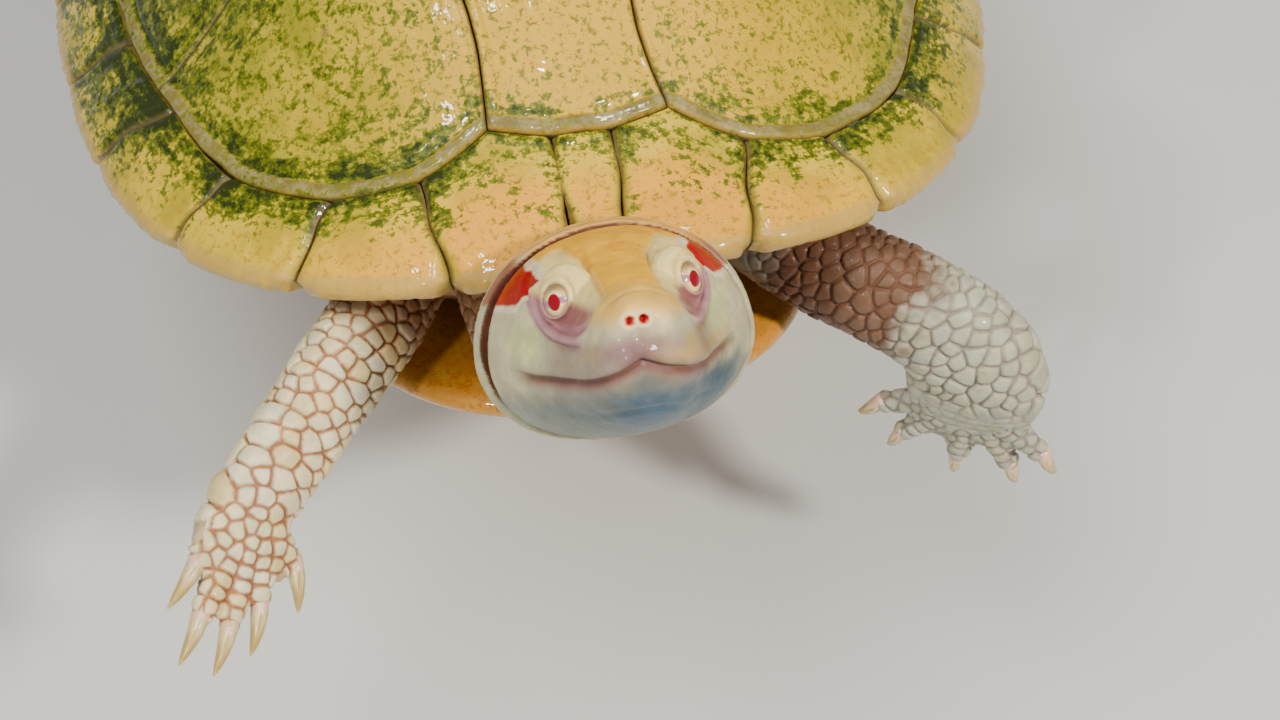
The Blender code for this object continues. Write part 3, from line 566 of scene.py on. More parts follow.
def scute_facts(place, edge, band):
    new_growth = ramp(NEW_GROWTH, 2, band)
    patches = noise(place, 22, 31, 3)
    near = np.maximum(0.62 * ramp(15, 3, edge), ramp(9, 3.4, band))
    to_nape = np.hypot(place[:, 0] - NAPE[0], 1.2 * (place[:, 1] - NAPE[1]))
    stain = 0.14 + 0.16 * near + 0.3 * patches + 0.16 * hump(band - 3, 0.8) - 0.2 * ramp(45, 15, to_nape)
    stain += 0.1 * ramp(0, -50, place[:, 0]) - 0.3 * new_growth + 0.12 * ramp(-60, -20, place[:, 1])
    old_ring = hump(edge - 9 - 1.5 * noise(place, 14, 41), 0.8) * 0.3
    seam_dark = np.where(band < 1.2, 0.85 * hump(edge, 0.3), hump(edge, 0.42))
    # A paler old growth ring, and painted light on the horn towards the nape.
    tone_and_painted_light = old_ring * 0.5 + 0.85 * ramp(52, 14, to_nape + 10 * patches)
    return {"stain": stain, "band": new_growth * ramp(0.1, 0.7, band), "seam": np.clip(seam_dark, 0, 1),
            "tone_and_painted_light": np.clip(tone_and_painted_light, 0, 1), "rim": np.zeros(len(place))}


print("this year's growth is", NEW_GROWTH, "mm wide")

# %% Build a scute from its outline
EDGE_ZONE = 3.6       # the rings lie close together this near to the outline, mm
EDGE_RINGS = 12
UNDERSIDE = SHELL_THICKNESS - 0.4


def turned_left(outline, on_band):
    following = np.roll(outline, -1, axis=0)
    if np.sum(outline[:, 0] * following[:, 1] - following[:, 0] * outline[:, 1]) > 0:
        return outline, on_band
    return outline[::-1], np.roll(on_band[::-1], -1)


def scute_piece(name, parts):
    outline = np.concatenate([line[:-1] for line, _ in parts])
    on_band = np.concatenate([np.full(len(line) - 1, flag) for line, flag in parts])
    outline, on_band = turned_left(outline, on_band)
    following = np.roll(outline, -1, axis=0)
    centre, count = outline.mean(axis=0), len(outline)
    spokes = outline - centre
    full = np.linalg.norm(spokes, axis=1)
    mean = full.mean()
    inner = np.linspace(0.04, 1 - EDGE_ZONE / mean, round((mean - EDGE_ZONE) / (1.2 * SEAM_STEP)))
    edge_rings = 1 - np.linspace(EDGE_ZONE, 0.0, EDGE_RINGS + 1)[1:] / mean
    rings = np.r_[inner, edge_rings][:, None] * (1 - GAP / 2 / full)
    plan = (centre + spokes[None] * rings[..., None]).reshape(-1, 2)
    place = np.column_stack([plan, np.zeros(len(plan))])
    edge = distance_to(plan, outline, following)
    band = distance_to(plan, outline[on_band], following[on_band])
    top, last = on_dome(plan, -scute_height(place, edge, band)), plan[-count:]
    under = [on_dome(last, depth) for depth in (1.4, 2.6, UNDERSIDE)]
    under += [on_dome(centre + (last - centre) * share, UNDERSIDE) for share in (0.66, 0.33)]
    points = np.concatenate([top, *under, on_dome(centre[None], 0.0), on_dome(centre[None], UNDERSIDE)])
    rows = len(rings) + len(under)
    first, final = np.arange(count), np.arange(count) + (rows - 1) * count
    faces = [grid_faces(rows, count, True)[:, ::-1], fan_faces(rows * count, first, True),
             fan_faces(rows * count + 1, final, False)]
    spare = len(points) - len(plan)
    layers = [(key, np.r_[values, np.full(spare, values[-1])])
              for key, values in scute_facts(place, edge, band).items()]
    turn = np.tile(np.linspace(0, 2 * np.pi, count, endpoint=False), len(rings))
    grain = np.stack([mean * np.cos(turn), mean * np.sin(turn), edge], -1)
    layers.append(("grain_mm", np.concatenate([grain, np.repeat(grain[-1:], spare, 0)])))
    layers.append(("place_mm", points))
    return finish_piece(mesh_object(name, points, faces, layers), costal_finish, "scute_keratin", name)


for scute_name, scute_parts in SCUTES.items():
    made = scute_piece(scute_name, scute_parts)
    print(scute_name, len(made.data.polygons), "faces")

# %% [markdown]
# ## The rim: marginal scutes
# Twelve small scutes on each side fold over the shell's rim. Each is a strip that starts at the band,
# runs out over the rim, turns under it and comes back, so its cross-section is a closed loop, swept
# from one seam to the next. The seams bend a little, and both neighbours bend with them.

# %% Where the marginal scutes meet
# Seams in degrees from the head, at the rim and at the band; numbers count from the cervical scute.
RIM_SEAMS = (2.3, 13.2, 27.6, 42.8, 60.6, 74.3, 89, 103, 117.5, 132, 147, 163, 180)
BAND_SEAMS = (3.3, 17.1, 25.9, 39, 52.4, 68.1, 85, 101, 118, 134, 149, 163, 180)
RIM_GROUPS = {"front": (0, 4), "bridge": (4, 7), "rear": (7, 12)}
RIM_TOP_REACH = 0.984
RIM_ARC = SHELL_THICKNESS / 2
RIM_RADIUS = 90
UNDER_STEPS = 9
ARC_STEPS = 9
TOP_STEPS = 30 if FINE else 16
COLUMN_STEP = 0.75 if FINE else 1.5
SEAM_BOW = 0.5


def seam_bow(number, share):
    return SEAM_BOW * np.sin(2 * np.pi * share + number * 1.9) * np.sin(np.pi * share) ** 0.5


def marginal_plan(side, start, end):
    """Plan points of a marginal scute, a row from band to rim for each column, and its width.

    The cervical scute lies across the middle line, so it starts and ends at the same seam number."""
    ends = np.array([-1, 1]) if start == end else np.array([side, side])
    rim_turns = np.radians([RIM_SEAMS[start], RIM_SEAMS[end]]) * ends
    band_turns = np.array([BAND_SEAMS[start], BAND_SEAMS[end]]) * ends
    width = abs(rim_turns[1] - rim_turns[0]) * RIM_RADIUS
    from_edge = np.r_[0, 0.2, 0.45, 0.75, 1.1, np.arange(1.6, width / 2, COLUMN_STEP)] / width
    across = np.r_[from_edge, 0.5, 1 - from_edge[::-1]]
    share = np.r_[0, 0.01, 0.025, 0.045, np.linspace(0.07, 1, TOP_STEPS)]
    u, v = (grid.ravel() for grid in np.meshgrid(across, share, indexing="ij"))
    inner = band_points(mix(band_turns[0], band_turns[1], u))
    outer = plan_point(mix(rim_turns[0], rim_turns[1], u), RIM_TOP_REACH)
    bow = mix(seam_bow(start, v) * ends[0], seam_bow(end, v) * ends[1], u)
    along = unit(plan_point(rim_turns[1:], 1.0) - plan_point(rim_turns[:1], 1.0))
    inward = np.sign(0.5 - u) * GAP / 2
    plan = (inner + (outer - inner) * v[:, None] + unit(outer - inner) * (GAP / 2 * (1 - v))[:, None]
            + along * (bow + inward)[:, None])
    length = np.linalg.norm(outer - inner, axis=1)
    return plan.reshape(len(across), len(share), 2), length * v, length - length * v, mix(0, width, u)


print("marginal scutes on each side:", len(RIM_SEAMS) - 1)

# %% Height and colour facts over a marginal scute
SEAM_DEPTH = 0.75


def marginal_height(place, edge, from_band, to_rim, notched):
    """Relief in millimetres; a `notched` scute is drawn in where its seam meets the rim."""
    corner = np.minimum(edge, from_band)
    return (0.3 * (ramp(0, 7, corner) - 1) - SEAM_DEPTH * hump(edge, 0.45) - 0.35 * hump(from_band, 0.5)
            + 0.1 * noise(place, 14, 13, 2) + growth_lines(corner, place)
            - 0.9 * hump(edge, 1.6) * ramp(5, 0, to_rim) * notched + 0.22 * hump(edge - 1.7, 0.9))


def marginal_facts(place, edge, from_band, to_rim):
    """Each colour fact with the share of it that goes on round the rim to the underside."""
    turn = np.degrees(np.abs(np.arctan2(place[:, 0], -place[:, 1])))
    # More algae is laid towards the sides and on the right, partly as painted shade; towards the head less
    # is laid and the horn gets painted light.
    stain = (0.02 + 0.2 * ramp(5, 1, from_band) + 0.16 * ramp(14, 4, from_band) + 0.16 * ramp(4, 1, edge)
             + 0.32 * noise(place, 15, 61, 3) + 0.2 * ramp(-10, -70, place[:, 0])
             + 0.16 * ramp(40, 90, turn) - 0.35 * ramp(9, 2, to_rim) * ramp(80, 30, turn)
             - 0.12 * ramp(45, 15, turn))
    return {"stain": (stain, 0.35),
            "tone_and_painted_light": (0.85 * ramp(38, 10, turn) * ramp(3, 11, from_band) * ramp(0.5, 2, edge), 0.7),
            "rim": (0.85 * ramp(1.6, 0.1, to_rim), 0.9),
            "seam": (np.clip(hump(edge, 0.42), 0, 1) * 0.9, 0.6),
            "band": (np.zeros(len(place)), 0.0)}


print("a seam is", SEAM_DEPTH, "mm deep")

# %% Build and join the marginal scutes
def rim_loop(grid, height):
    """The closed cross-sections: over the top, round the rim, back underneath, and up the inner wall."""
    columns, row = grid.shape[:2]
    top = on_dome(grid.reshape(-1, 2), -np.minimum(height, 0.25)).reshape(columns, row, 3)
    rim_plan = grid[:, -1]
    above = on_dome(rim_plan, -height.reshape(columns, row)[:, -1])
    below = on_dome(rim_plan, SHELL_THICKNESS)
    before = on_dome(rim_plan - 0.3 * unit(rim_plan), 0.0)
    reach = unit(above - before) * RIM_ARC
    centre, half = (above + below) / 2, (above - below) / 2
    arc = np.stack([centre + half * np.cos(a) + reach * np.sin(a)
                    for a in np.linspace(0, np.pi, ARC_STEPS + 1)[1:]], 1)
    back = np.linspace(1, 0, UNDER_STEPS + 1)[1:]
    under_plan = rim_plan[:, None] + (grid[:, :1] - rim_plan[:, None]) * (1 - back[None, :, None])
    under = on_dome(under_plan.reshape(-1, 2), SHELL_THICKNESS).reshape(columns, UNDER_STEPS, 3)
    return np.concatenate([top, arc, under, on_dome(grid[:, 0], 1.6)[:, None]], 1)


def carried_round(values, shape, extra, rest):
    """Facts of the top, and `rest` of the last one in each row for the points beyond it and the caps."""
    grid = values.reshape(shape)
    tail = np.repeat(grid[:, -1:], extra, 1) * rest
    return np.r_[np.concatenate([grid, tail], 1).ravel(), 0.0, 0.0]


def marginal_mesh(side, start, end):
    grid, from_band, to_rim, along_rim = marginal_plan(side, start, end)
    plan, shape = grid.reshape(-1, 2), grid.shape[:2]
    place = np.column_stack([plan, np.zeros(len(plan))])
    edge = np.minimum(*(np.linalg.norm(grid - seam_row, axis=-1).ravel()
                        for seam_row in (grid[:1], grid[-1:])))
    notched = ramp(60, 50, RIM_SEAMS[start])
    height = marginal_height(place, edge, from_band, to_rim, notched)
    loop = rim_loop(grid, height)
    rows, columns = loop.shape[:2]
    ring = np.arange(columns)
    faces = [grid_faces(rows, columns, True), fan_faces(rows * columns, ring, False),
             fan_faces(rows * columns + 1, ring + (rows - 1) * columns, True)]
    extra = columns - shape[1]
    facts = [(key, carried_round(values, shape, extra, rest))
             for key, (values, rest) in marginal_facts(place, edge, from_band, to_rim).items()]
    grain = np.column_stack([along_rim, np.zeros(len(plan)), from_band]).reshape(*shape, 3)
    grain = np.concatenate([grain, np.repeat(grain[:, -1:], extra, 1)], 1).reshape(-1, 3)
    points = np.r_[loop.reshape(-1, 3), loop[[0, -1]].mean(axis=1)]
    return points, faces, facts + [("grain_mm", np.r_[grain, grain[:2]]), ("place_mm", points)]


def rim_piece(name, meshes):
    made = finish_piece(mesh_object(name, *joined(meshes)), marginal_finish, "marginal_keratin", name)
    print(name, len(made.data.polygons), "faces")


for rim_side, rim_word in SIDES:
    for group, (first, last) in RIM_GROUPS.items():
        meshes = [marginal_mesh(rim_side, n, n + 1) for n in range(first, last)]
        rim_piece(f"marginals_{group}_{rim_word}", meshes)
rim_piece("cervical", [marginal_mesh(LEFT, 0, 0)])

# %% [markdown]
# ## The plastron
# The belly plate is one sheet of bone and horn: two lobes, and between the legs a bridge on each side
# that bends up to the rim. It is drawn flat, with the bridges unrolled, and then bent: the bridge part
# of the flat shape is wrapped round a quarter circle, so plate and bridges are one surface.

# %% The flat shape of the plastron, in millimetres
FORE_LOBE = {"half_width": 41, "depth": 38, "centre": -57}
HIND_LOBE = {"half_width": 46, "depth": 43, "centre": 48}
LOBE_SQUARENESS = 2.3
TAIL_NOTCH = 7.0
BRIDGE_ENDS = (-45, 42)
BRIDGE_FOOT = 52.0
BRIDGE_LENGTH = 38.0
BRIDGE_REACH = 0.955
BRIDGE_RISE = 25.4
BRIDGE_TAPER = 0.14
PLASTRON_THICKNESS = 4.4
# Seams across the plate: (y at the middle line, y at its side) for the five cross seams.
PLATE_SEAMS = ((-76, -90), (-49, -53), (-20, -13), (27, 39), (52, 74))
BRIDGE_SEAM = 58.0


def lobe_edge(lobe, end, steps):
    turn = np.linspace(0, np.pi / 2, steps)
    across = np.cos(turn) ** (2 / LOBE_SQUARENESS) * lobe["half_width"]
    ahead = end * np.sin(turn) ** (2 / LOBE_SQUARENESS) * lobe["depth"]
    return np.column_stack([across, lobe["centre"] + ahead])


def flat_outline():
    front = lobe_edge(FORE_LOBE, -1, 40)[::-1]
    rear = lobe_edge(HIND_LOBE, 1, 40)
    rear[:, 1] -= TAIL_NOTCH * ramp(16, 0, rear[:, 0])
    tip = BRIDGE_FOOT + BRIDGE_LENGTH
    corners = [(BRIDGE_FOOT + 1, BRIDGE_ENDS[0]), (tip, BRIDGE_ENDS[0]), (tip, BRIDGE_ENDS[1]),
               (BRIDGE_FOOT + 1, BRIDGE_ENDS[1])]
    half = np.vstack([front, corners, rear])
    whole = np.vstack([half, half[-2:0:-1] * (-1, 1)])
    lengths = np.r_[0, np.cumsum(np.linalg.norm(np.diff(np.vstack([whole, whole[:1]]), axis=0), axis=1))]
    places = np.arange(0, lengths[-1], 1.0 if FINE else 2.0)
    closed = np.vstack([whole, whole[:1]])
    line = np.stack([np.interp(places, lengths, closed[:, axis]) for axis in (0, 1)], -1)
    for _ in range(3):
        line = (np.roll(line, 1, 0) + 2 * line + np.roll(line, -1, 0)) / 4
    return line


print("unrolled, the plate is", np.ptp(flat_outline(), axis=0).round(), "mm")

# %% Bend the bridges up to the rim
def half_width_at(y):
    widest = HALF_WIDTH * (1 + WIDENING * y / HALF_LENGTH)
    return widest * (1 - np.abs(y / HALF_LENGTH) ** SQUARENESS) ** (1 / SQUARENESS)


def bent(flat, depth):
    """Flat points bent into place, `depth` inwards from the outer surface."""
    def outer(place):
        beyond = np.clip((np.abs(place[:, 0]) - BRIDGE_FOOT) / BRIDGE_LENGTH, 0, 1) * np.pi / 2
        y = place[:, 1] * (1 - BRIDGE_TAPER * np.sin(beyond))
        spread = BRIDGE_REACH * half_width_at(np.clip(y, -60, 60)) - BRIDGE_FOOT
        x = np.where(beyond > 0, BRIDGE_FOOT + spread * np.sin(beyond), np.abs(place[:, 0]))
        rise = BRIDGE_RISE * (1 - np.cos(beyond))
        keel = 0.9 * ramp(70, 101, np.abs(place[:, 1]))
        return np.column_stack([np.copysign(x, place[:, 0]), y, rise + keel])
    here = outer(flat)
    step = 0.2
    along_x, along_y = outer(flat + (step, 0)) - here, outer(flat + (0, step)) - here
    return here + unit(np.cross(along_x, along_y)) * np.reshape(depth, (-1, 1))


print("the bridges rise", BRIDGE_RISE, "mm to the rim")

# %% Build the plastron
RIM_STRIP = 3.0      # the last ring of points but one is this far from the edge, mm
PLATE_RINGS = 80 if FINE else 40
LIP_STEPS = 6


def seam_lines():
    pieces = [((0, -96), (0, 86))]
    for middle, outer in PLATE_SEAMS:
        for side in (-1, 1):
            pieces.append(((0, middle), (side * 30, mix(middle, outer, 0.35))))
            pieces.append(((side * 30, mix(middle, outer, 0.35)), (side * 58, outer)))
    for side in (-1, 1):
        pieces.append(((side * BRIDGE_SEAM, -40), (side * (BRIDGE_SEAM + 3), 40)))
    starts, ends = (np.array([piece[end] for piece in pieces], float) for end in (0, 1))
    return starts, ends


def plastron_mesh():
    outline = flat_outline()
    count = len(outline)
    full = np.linalg.norm(outline, axis=1)
    half = PLASTRON_THICKNESS / 2
    shares = np.r_[np.linspace(0.02, 1 - RIM_STRIP / full.mean(), PLATE_RINGS), 1.0]
    flat = outline[None] * (1 - half / full)[None, :, None] * shares[:, None, None]
    plan = flat.reshape(-1, 2)
    wavy = plan + 0.8 * np.column_stack([noise(np.column_stack([plan, 0 * plan[:, :1]]), 9, seed)
                                         for seed in (141, 142)])
    starts, ends = seam_lines()
    near_seam = distance_to(wavy, starts, ends)
    place = np.column_stack([plan, np.zeros(len(plan))])
    relief = -0.55 * hump(near_seam, 0.9) + 0.25 * noise(place, 22, 143, 2)
    relief += 0.05 * np.sin(near_seam * 2.2 + 1.5 * noise(place, 9, 144)) * ramp(16, 4, near_seam)
    under = bent(plan, -np.clip(relief, -1, 0.0)).reshape(len(shares), count, 3)
    last = flat[-1]
    outward = last / np.linalg.norm(last, axis=1, keepdims=True)
    turn = np.linspace(0, np.pi, LIP_STEPS + 2)[1:-1]
    lip = [bent(last + outward * half * np.sin(a), half * (1 - np.cos(a)) + 0 * full) for a in turn]
    inside = [bent(last * share, PLASTRON_THICKNESS + 0 * full) for share in (1.0, 0.85, 0.6, 0.3, 0.02)]
    rings = [*under, *lip, *inside]
    points, faces, _ = loft(rings)
    spare = len(points) - len(plan)
    stain = -0.3 + 0.2 * noise(place, 12, 145, 3) + 0.12 * ramp(4, 1, near_seam)
    none = np.zeros(len(plan))
    facts = {"stain": stain, "seam": 0.55 * hump(near_seam, 0.5), "band": none,
             "tone_and_painted_light": 0.5 * ramp(-0.2, 0.5, noise(place, 20, 146, 2)), "rim": none}
    layers = [(key, np.r_[values, np.full(spare, values[-count:].mean())]) for key, values in facts.items()]
    layers += [("grain_mm", points.copy()), ("place_mm", points)]
    return points, faces, layers


plastron = mesh_object("plastron", *joined([plastron_mesh()]))
finish_piece(plastron, plastron_finish, "plastron_keratin", "plastron")
print("plastron:", len(plastron.data.polygons), "faces")

# %% [markdown]
# ## The skin
# Head, neck, trunk, legs, feet and tail are one continuous skin, so they are one mesh here. Each part
# starts as a closed loft through its sections. A voxel remesh melts the lofts into one even surface,
# which is smoothed, made finer where it will be looked at, and then shaped point by point: lids, lips,
# nostrils, the folded collar behind the head, and the domed scales of the limbs.

# %% The head's own space: x across, f to the snout, u up, from between the eyes
HEAD_PITCH = math.radians(39.0)
HEAD_ROLL = math.radians(1.8)
HEAD_TAPER = 0.1
HEAD_ORIGIN = np.array((-1.3, -124.3, 57.9))
tilt = np.array([[1, 0, 0], [0, -math.cos(HEAD_PITCH), math.sin(HEAD_PITCH)],
                 [0, math.sin(HEAD_PITCH), math.cos(HEAD_PITCH)]])
HEAD_AXES = np.array(Matrix.Rotation(-HEAD_ROLL, 3, "Y")).T @ tilt


def from_head(points):
    return HEAD_ORIGIN + np.asarray(points) @ HEAD_AXES


def to_head(points):
    return (points - HEAD_ORIGIN) @ HEAD_AXES.T


print("the snout points along", HEAD_AXES[1].round(2))

# %% [markdown]
# ### Head, collar and neck
# The head is a blunt wedge, widest at its back. The neck's loose skin stands behind it as a thick
# rounded collar, so the collar and neck are a second loft that starts inside the head.

# %% Head, collar and neck
# Sections of the head and collar: (f, half width, top, bottom). Of the neck: (centre, up, half sizes).
WIDEST = 8
HEAD_ROUNDNESS = 2.15
HEAD_SECTIONS = (
    (14.9, 2.6, -0.6, -6), (13.9, 4.7, 0.2, -8.8), (11.3, 6.6, 1.2, -12.8), (7.3, 8.2, 2.2, -16),
    (2.5, 9.6, 3.3, -18), (-3, 11.9, 4.6, -19.6), (-9, 15.6, 6.2, -20.8), (-14.5, 18, 7.2, -21.7),
    (-17.8, 18.4, 7.3, -21.8), (-19.2, 16.4, 6, -20.4), (-24, 14, 4, -18))
COLLAR_SECTIONS = (
    (-18.8, 16.2, 5, -20), (-18.6, 18.2, 6.8, -21.7), (-18.9, 19.2, 7.7, -22.5),
    (-19.8, 19.8, 8.1, -22.8), (-22.6, 20.3, 8.6, -22.8))
NECK_SECTIONS = (
    ((-0.9, -108.9, 32.6), (0, 0.52, 0.855), 19, 13.4), ((-0.4, -105, 25), (0, 0.22, 0.975), 18.6, 11.2),
    ((0, -98, 21.8), (0, 0.04, 1), 19.2, 11.6), ((0, -90, 21.3), (0, 0, 1), 20.2, 12.2),
    ((0, -80, 21), (0, 0, 1), 21, 12.6), ((0, -68, 21), (0, 0, 1), 19, 11))


def head_ring(section, count=48):
    f, half_width, top, bottom = section
    half_height = (top - bottom) / 2
    middle = np.array((0, f, (top + bottom) / 2))
    ring = oval(middle, (1, 0, 0), (0, 0, 1), half_width, half_height, count, HEAD_ROUNDNESS)
    ring[:, 0] *= 1 - HEAD_TAPER * (ring[:, 2] - middle[2]) / half_height
    return from_head(ring)


def head_and_neck():
    head = loft([head_ring(section) for section in smooth_path(HEAD_SECTIONS, 5)])
    collar = [head_ring(section) for section in smooth_path(COLLAR_SECTIONS, 3)]
    knots = [(*centre, *up, width, height) for centre, up, width, height in NECK_SECTIONS]
    for values in smooth_path(knots, 4):
        collar.append(oval(values[:3], (1, 0, 0), unit(values[3:6]), values[6], values[7], 48))
    return [head, loft(collar)]


print("the head is", 2 * HEAD_SECTIONS[WIDEST][1], "mm wide")

# %% [markdown]
# ### Limbs
# A slider's limbs end in webbed toes with claws: five in front, and behind four with a claw and a small
# fifth without. Each limb is one loft, with more for its palm, its toes and the web between them.

# %% The limbs' sections and toes
LIMBS = {
    # (centre, half width, half thickness) from the trunk to the wrist; toes are (degrees, length)
    "front_right": {
        "sections": (((-22, -58, 19), 8, 7.5), ((-29.5, -74, 20), 8.4, 7.8),
                     ((-34.2, -84.5, 19.2), 7.3, 7), ((-39.3, -90.8, 17.6), 7.1, 6.7),
                     ((-44.6, -97, 15.6), 6.9, 6.2), ((-50.8, -104.5, 13), 6.6, 5.4),
                     ((-56.4, -111, 10.6), 6.4, 4.4)),
        "side": (0.75, 0.03, -0.66), "aim": (-0.3, -0.87, -0.38),
        "toes": ((54, 11.2), (19, 14.8), (2, 18.2), (-13, 18.6), (-31, 12.8))},
    "front_left": {
        "sections": (((22, -58, 19), 8, 7.5), ((31, -74, 18.2), 8.8, 8.2),
                     ((40.5, -84, 15.8), 8.4, 7.8), ((50, -90, 12.6), 8.6, 7.8),
                     ((57.5, -95, 8.2), 9.6, 7.2), ((60.8, -98.2, 3), 10.6, 6),
                     ((60.4, -98.6, -2.2), 11, 4.6)),
        "side": (-0.89, 0.45, 0), "aim": (0, 0.08, -0.99),
        "toes": ((62, 16.4), (36, 17.4), (2, 17), (-27, 18.2), (-48, 17.6))},
    "hind_right": {
        "sections": (((-24, 54, 19), 9, 8), ((-36, 70, 18), 11, 8.6),
                     ((-48, 82, 16), 10.8, 8.4), ((-57, 91, 13), 10.4, 8.2),
                     ((-61.5, 99, 8.6), 9.4, 7.2), ((-62, 107, 3.6), 8.4, 5.6),
                     ((-61.5, 112.5, 0.6), 8.2, 4.6)),
        "side": (0.95, 0.15, 0.25), "aim": (0.05, 0.82, -0.57),
        "toes": ((32, 19), (15, 24), (-1, 26), (-18, 24.5), (-37, 19.5))},
    "hind_left": {
        "sections": (((24, 54, 19), 9, 8), ((36.5, 69, 18), 11, 8.6),
                     ((50, 79.5, 15.6), 10.8, 8.4), ((61, 86.5, 11.6), 10.4, 8.2),
                     ((68, 93.5, 7.2), 9.4, 7.2), ((71.5, 101, 3.2), 8.4, 5.6),
                     ((73, 106.5, 0.4), 8.2, 4.6)),
        "side": (-0.9, 0.35, -0.1), "aim": (0.3, 0.8, -0.52),
        "toes": ((28, 19), (13, 24), (-1, 26), (-16, 24.5), (-32, 19.5))},
}
PALMS = {"front": 8.5, "hind": 13.0}
PALM_STATIONS = ((-0.3, 0, 1), (0.035, 0, 1), (0.45, 0.5, 0.8), (0.85, 0.95, 0.6), (1.15, 0.85, 0.4))
TOE_STATIONS = ((0.3, 2.1), (0.5, 2.35), (0.7, 2.15), (0.85, 1.95), (0.97, 1.75), (1.03, 1.35))
TOE_FLESH = 2.6
TOE_FLATNESS = 0.92
WEB_THICKNESS = 1.3
WEB_ON_TOE = 0.86
WEB_SETBACK = 0.88
WEB_DIP = 0.93
ROOT_HALF_WIDTH = 6.5
print("limbs:", list(LIMBS))

# %% Build a limb with its palm, toes and web
def limb_place(name):
    """A limb's wrist point, its (across, forward, up) frame, its back's normal and its palm's length."""
    limb = LIMBS[name]
    wrist = np.array(limb["sections"][-1][0])
    axes = frame_along(limb["aim"], limb["side"])
    facing = np.array((0, -0.7, 0.7)) if name.startswith("front") else np.array((0, 0.3, 1.0))
    back = axes[2] * np.sign(axes[2] @ facing)
    return wrist, axes, back, PALMS[name.split("_")[0]]


def toe_aim(axes, degrees):
    return axes[1] * math.cos(math.radians(degrees)) + axes[0] * math.sin(math.radians(degrees))


def web_mesh(name):
    wrist, axes, back, palm = limb_place(name)
    toes = LIMBS[name]["toes"]
    angles, reaches = [], []
    for index, (degrees, length) in enumerate(toes):
        angles.append(degrees)
        reaches.append(length * WEB_ON_TOE)
        if index + 1 < len(toes):
            angles.append((degrees + toes[index + 1][0]) / 2)
            reaches.append(min(length, toes[index + 1][1]) * WEB_SETBACK * WEB_DIP)
    knots = smooth_path(list(zip(angles, reaches)), 6)
    edge = np.stack([toe_aim(axes, degrees) * reach for degrees, reach in knots])
    spread = np.linspace(1, -1, len(edge))[:, None]
    root = axes[0] * spread * ROOT_HALF_WIDTH + axes[1] * palm * 0.25
    rings = []
    for share in np.linspace(0, 1, 12):
        line = wrist + root + (edge - root) * share
        half = WEB_THICKNESS / 2 * (1 - 0.25 * share)
        rings.append(np.concatenate([line + back * half, line[::-1] - back * half]))
    return loft(rings)


def limb_meshes(name):
    limb = LIMBS[name]
    wrist, axes, back, palm = limb_place(name)
    path = smooth_path([(*centre, width, thick) for centre, width, thick in limb["sections"]], 5)[::-1]
    across, rings = axes[0], []
    for index, values in enumerate(path):
        direction = path[max(index - 1, 0)][:3] - path[min(index + 1, len(path) - 1)][:3]
        across, _, up = frame_along(direction, across)
        rings.append(oval(values[:3], across, up, values[3], values[4], 36, 2.2))
    parts = [loft(rings[::-1]), web_mesh(name)]
    toes = limb["toes"]
    width, thickness = limb["sections"][-1][1:]
    breadth = palm * math.sin(math.radians(toes[0][0] - toes[-1][0]) / 2) + TOE_FLESH
    stations = smooth_path(PALM_STATIONS, 3)
    parts.append(loft([oval(wrist + axes[1] * palm * place, axes[0], back,
                            width + (breadth - width) * share, thickness * thick, 36, 2.2)
                       for place, share, thick in stations]))
    for degrees, length in toes:
        aim = toe_aim(axes, degrees)
        side = np.cross(aim, back)
        parts.append(loft([oval(wrist + aim * length * part, side, back, radius,
                                radius * TOE_FLATNESS, 20, 2)
                           for part, radius in smooth_path(TOE_STATIONS, 3)]))
    return parts


print("lofts in one limb:", len(limb_meshes("front_right")))

# %% [markdown]
# ### Trunk and tail
# Most of the trunk is inside the shell, and only its folds at the openings are seen. It follows the
# shell's plan at a smaller reach. The tail is a slim cone that curls a little to the left.

# %% Trunk and tail
TRUNK_SIDE = ((0.1, 5.2), (0.5, 5.6), (0.66, 7.5), (0.76, 12), (0.82, 19), (0.835, 26))
TRUNK_TOP = ((0.8, 5.6), (0.66, 5.4), (0.45, 5.4), (0.12, 5.4))
TRUNK_SPOKES = 60
TAIL_FLATNESS = 0.9
TAIL_SECTIONS = (((0, 62, 14), 6.5), ((0, 78, 13.5), 6.4), ((0.5, 90, 12.5), 5.4),
                 ((2, 101, 10.8), 4.2), ((5, 112, 8.6), 3), ((9.5, 122, 6.4), 1.9),
                 ((14, 129, 5), 0.8))


def trunk_mesh():
    turns = np.linspace(0, 2 * np.pi, TRUNK_SPOKES + 1)[:-1]
    rings = [np.column_stack([plan_point(turns, reach), np.full(TRUNK_SPOKES, height)])
             for reach, height in TRUNK_SIDE]
    rings += [on_dome(plan_point(turns, reach), depth) for reach, depth in TRUNK_TOP]
    return loft(rings)


def tail_mesh():
    path = smooth_path([(*centre, radius) for centre, radius in TAIL_SECTIONS], 4)
    rings = []
    for index, values in enumerate(path):
        direction = path[min(index + 1, len(path) - 1)][:3] - path[max(index - 1, 0)][:3]
        across, _, up = frame_along(direction, (1, 0, 0))
        rings.append(oval(values[:3], across, up, values[3], values[3] * TAIL_FLATNESS, 24, 2.0))
    return loft(rings)


flesh = head_and_neck() + [trunk_mesh(), tail_mesh()]
for limb_name in LIMBS:
    flesh += limb_meshes(limb_name)
print("flesh lofts:", len(flesh))

# %% [markdown]
# ### One skin from many lofts
# Boolean unions could join the lofts, but they leave hard creases where a leg meets the trunk. A voxel
# remesh rebuilds the whole as one closed surface with even faces. What only the shell's inside sees is
# then made of few large faces, which leaves more for the head and the limbs.

# %% Melt the lofts into one surface
VOXEL = 0.55 if FINE else 0.9
HIDDEN_WEIGHT = 1000.0


def result_of(obj):
    mesh = bpy.data.meshes.new_from_object(obj.evaluated_get(bpy.context.evaluated_depsgraph_get()))
    bpy.data.objects.remove(obj)
    return mesh


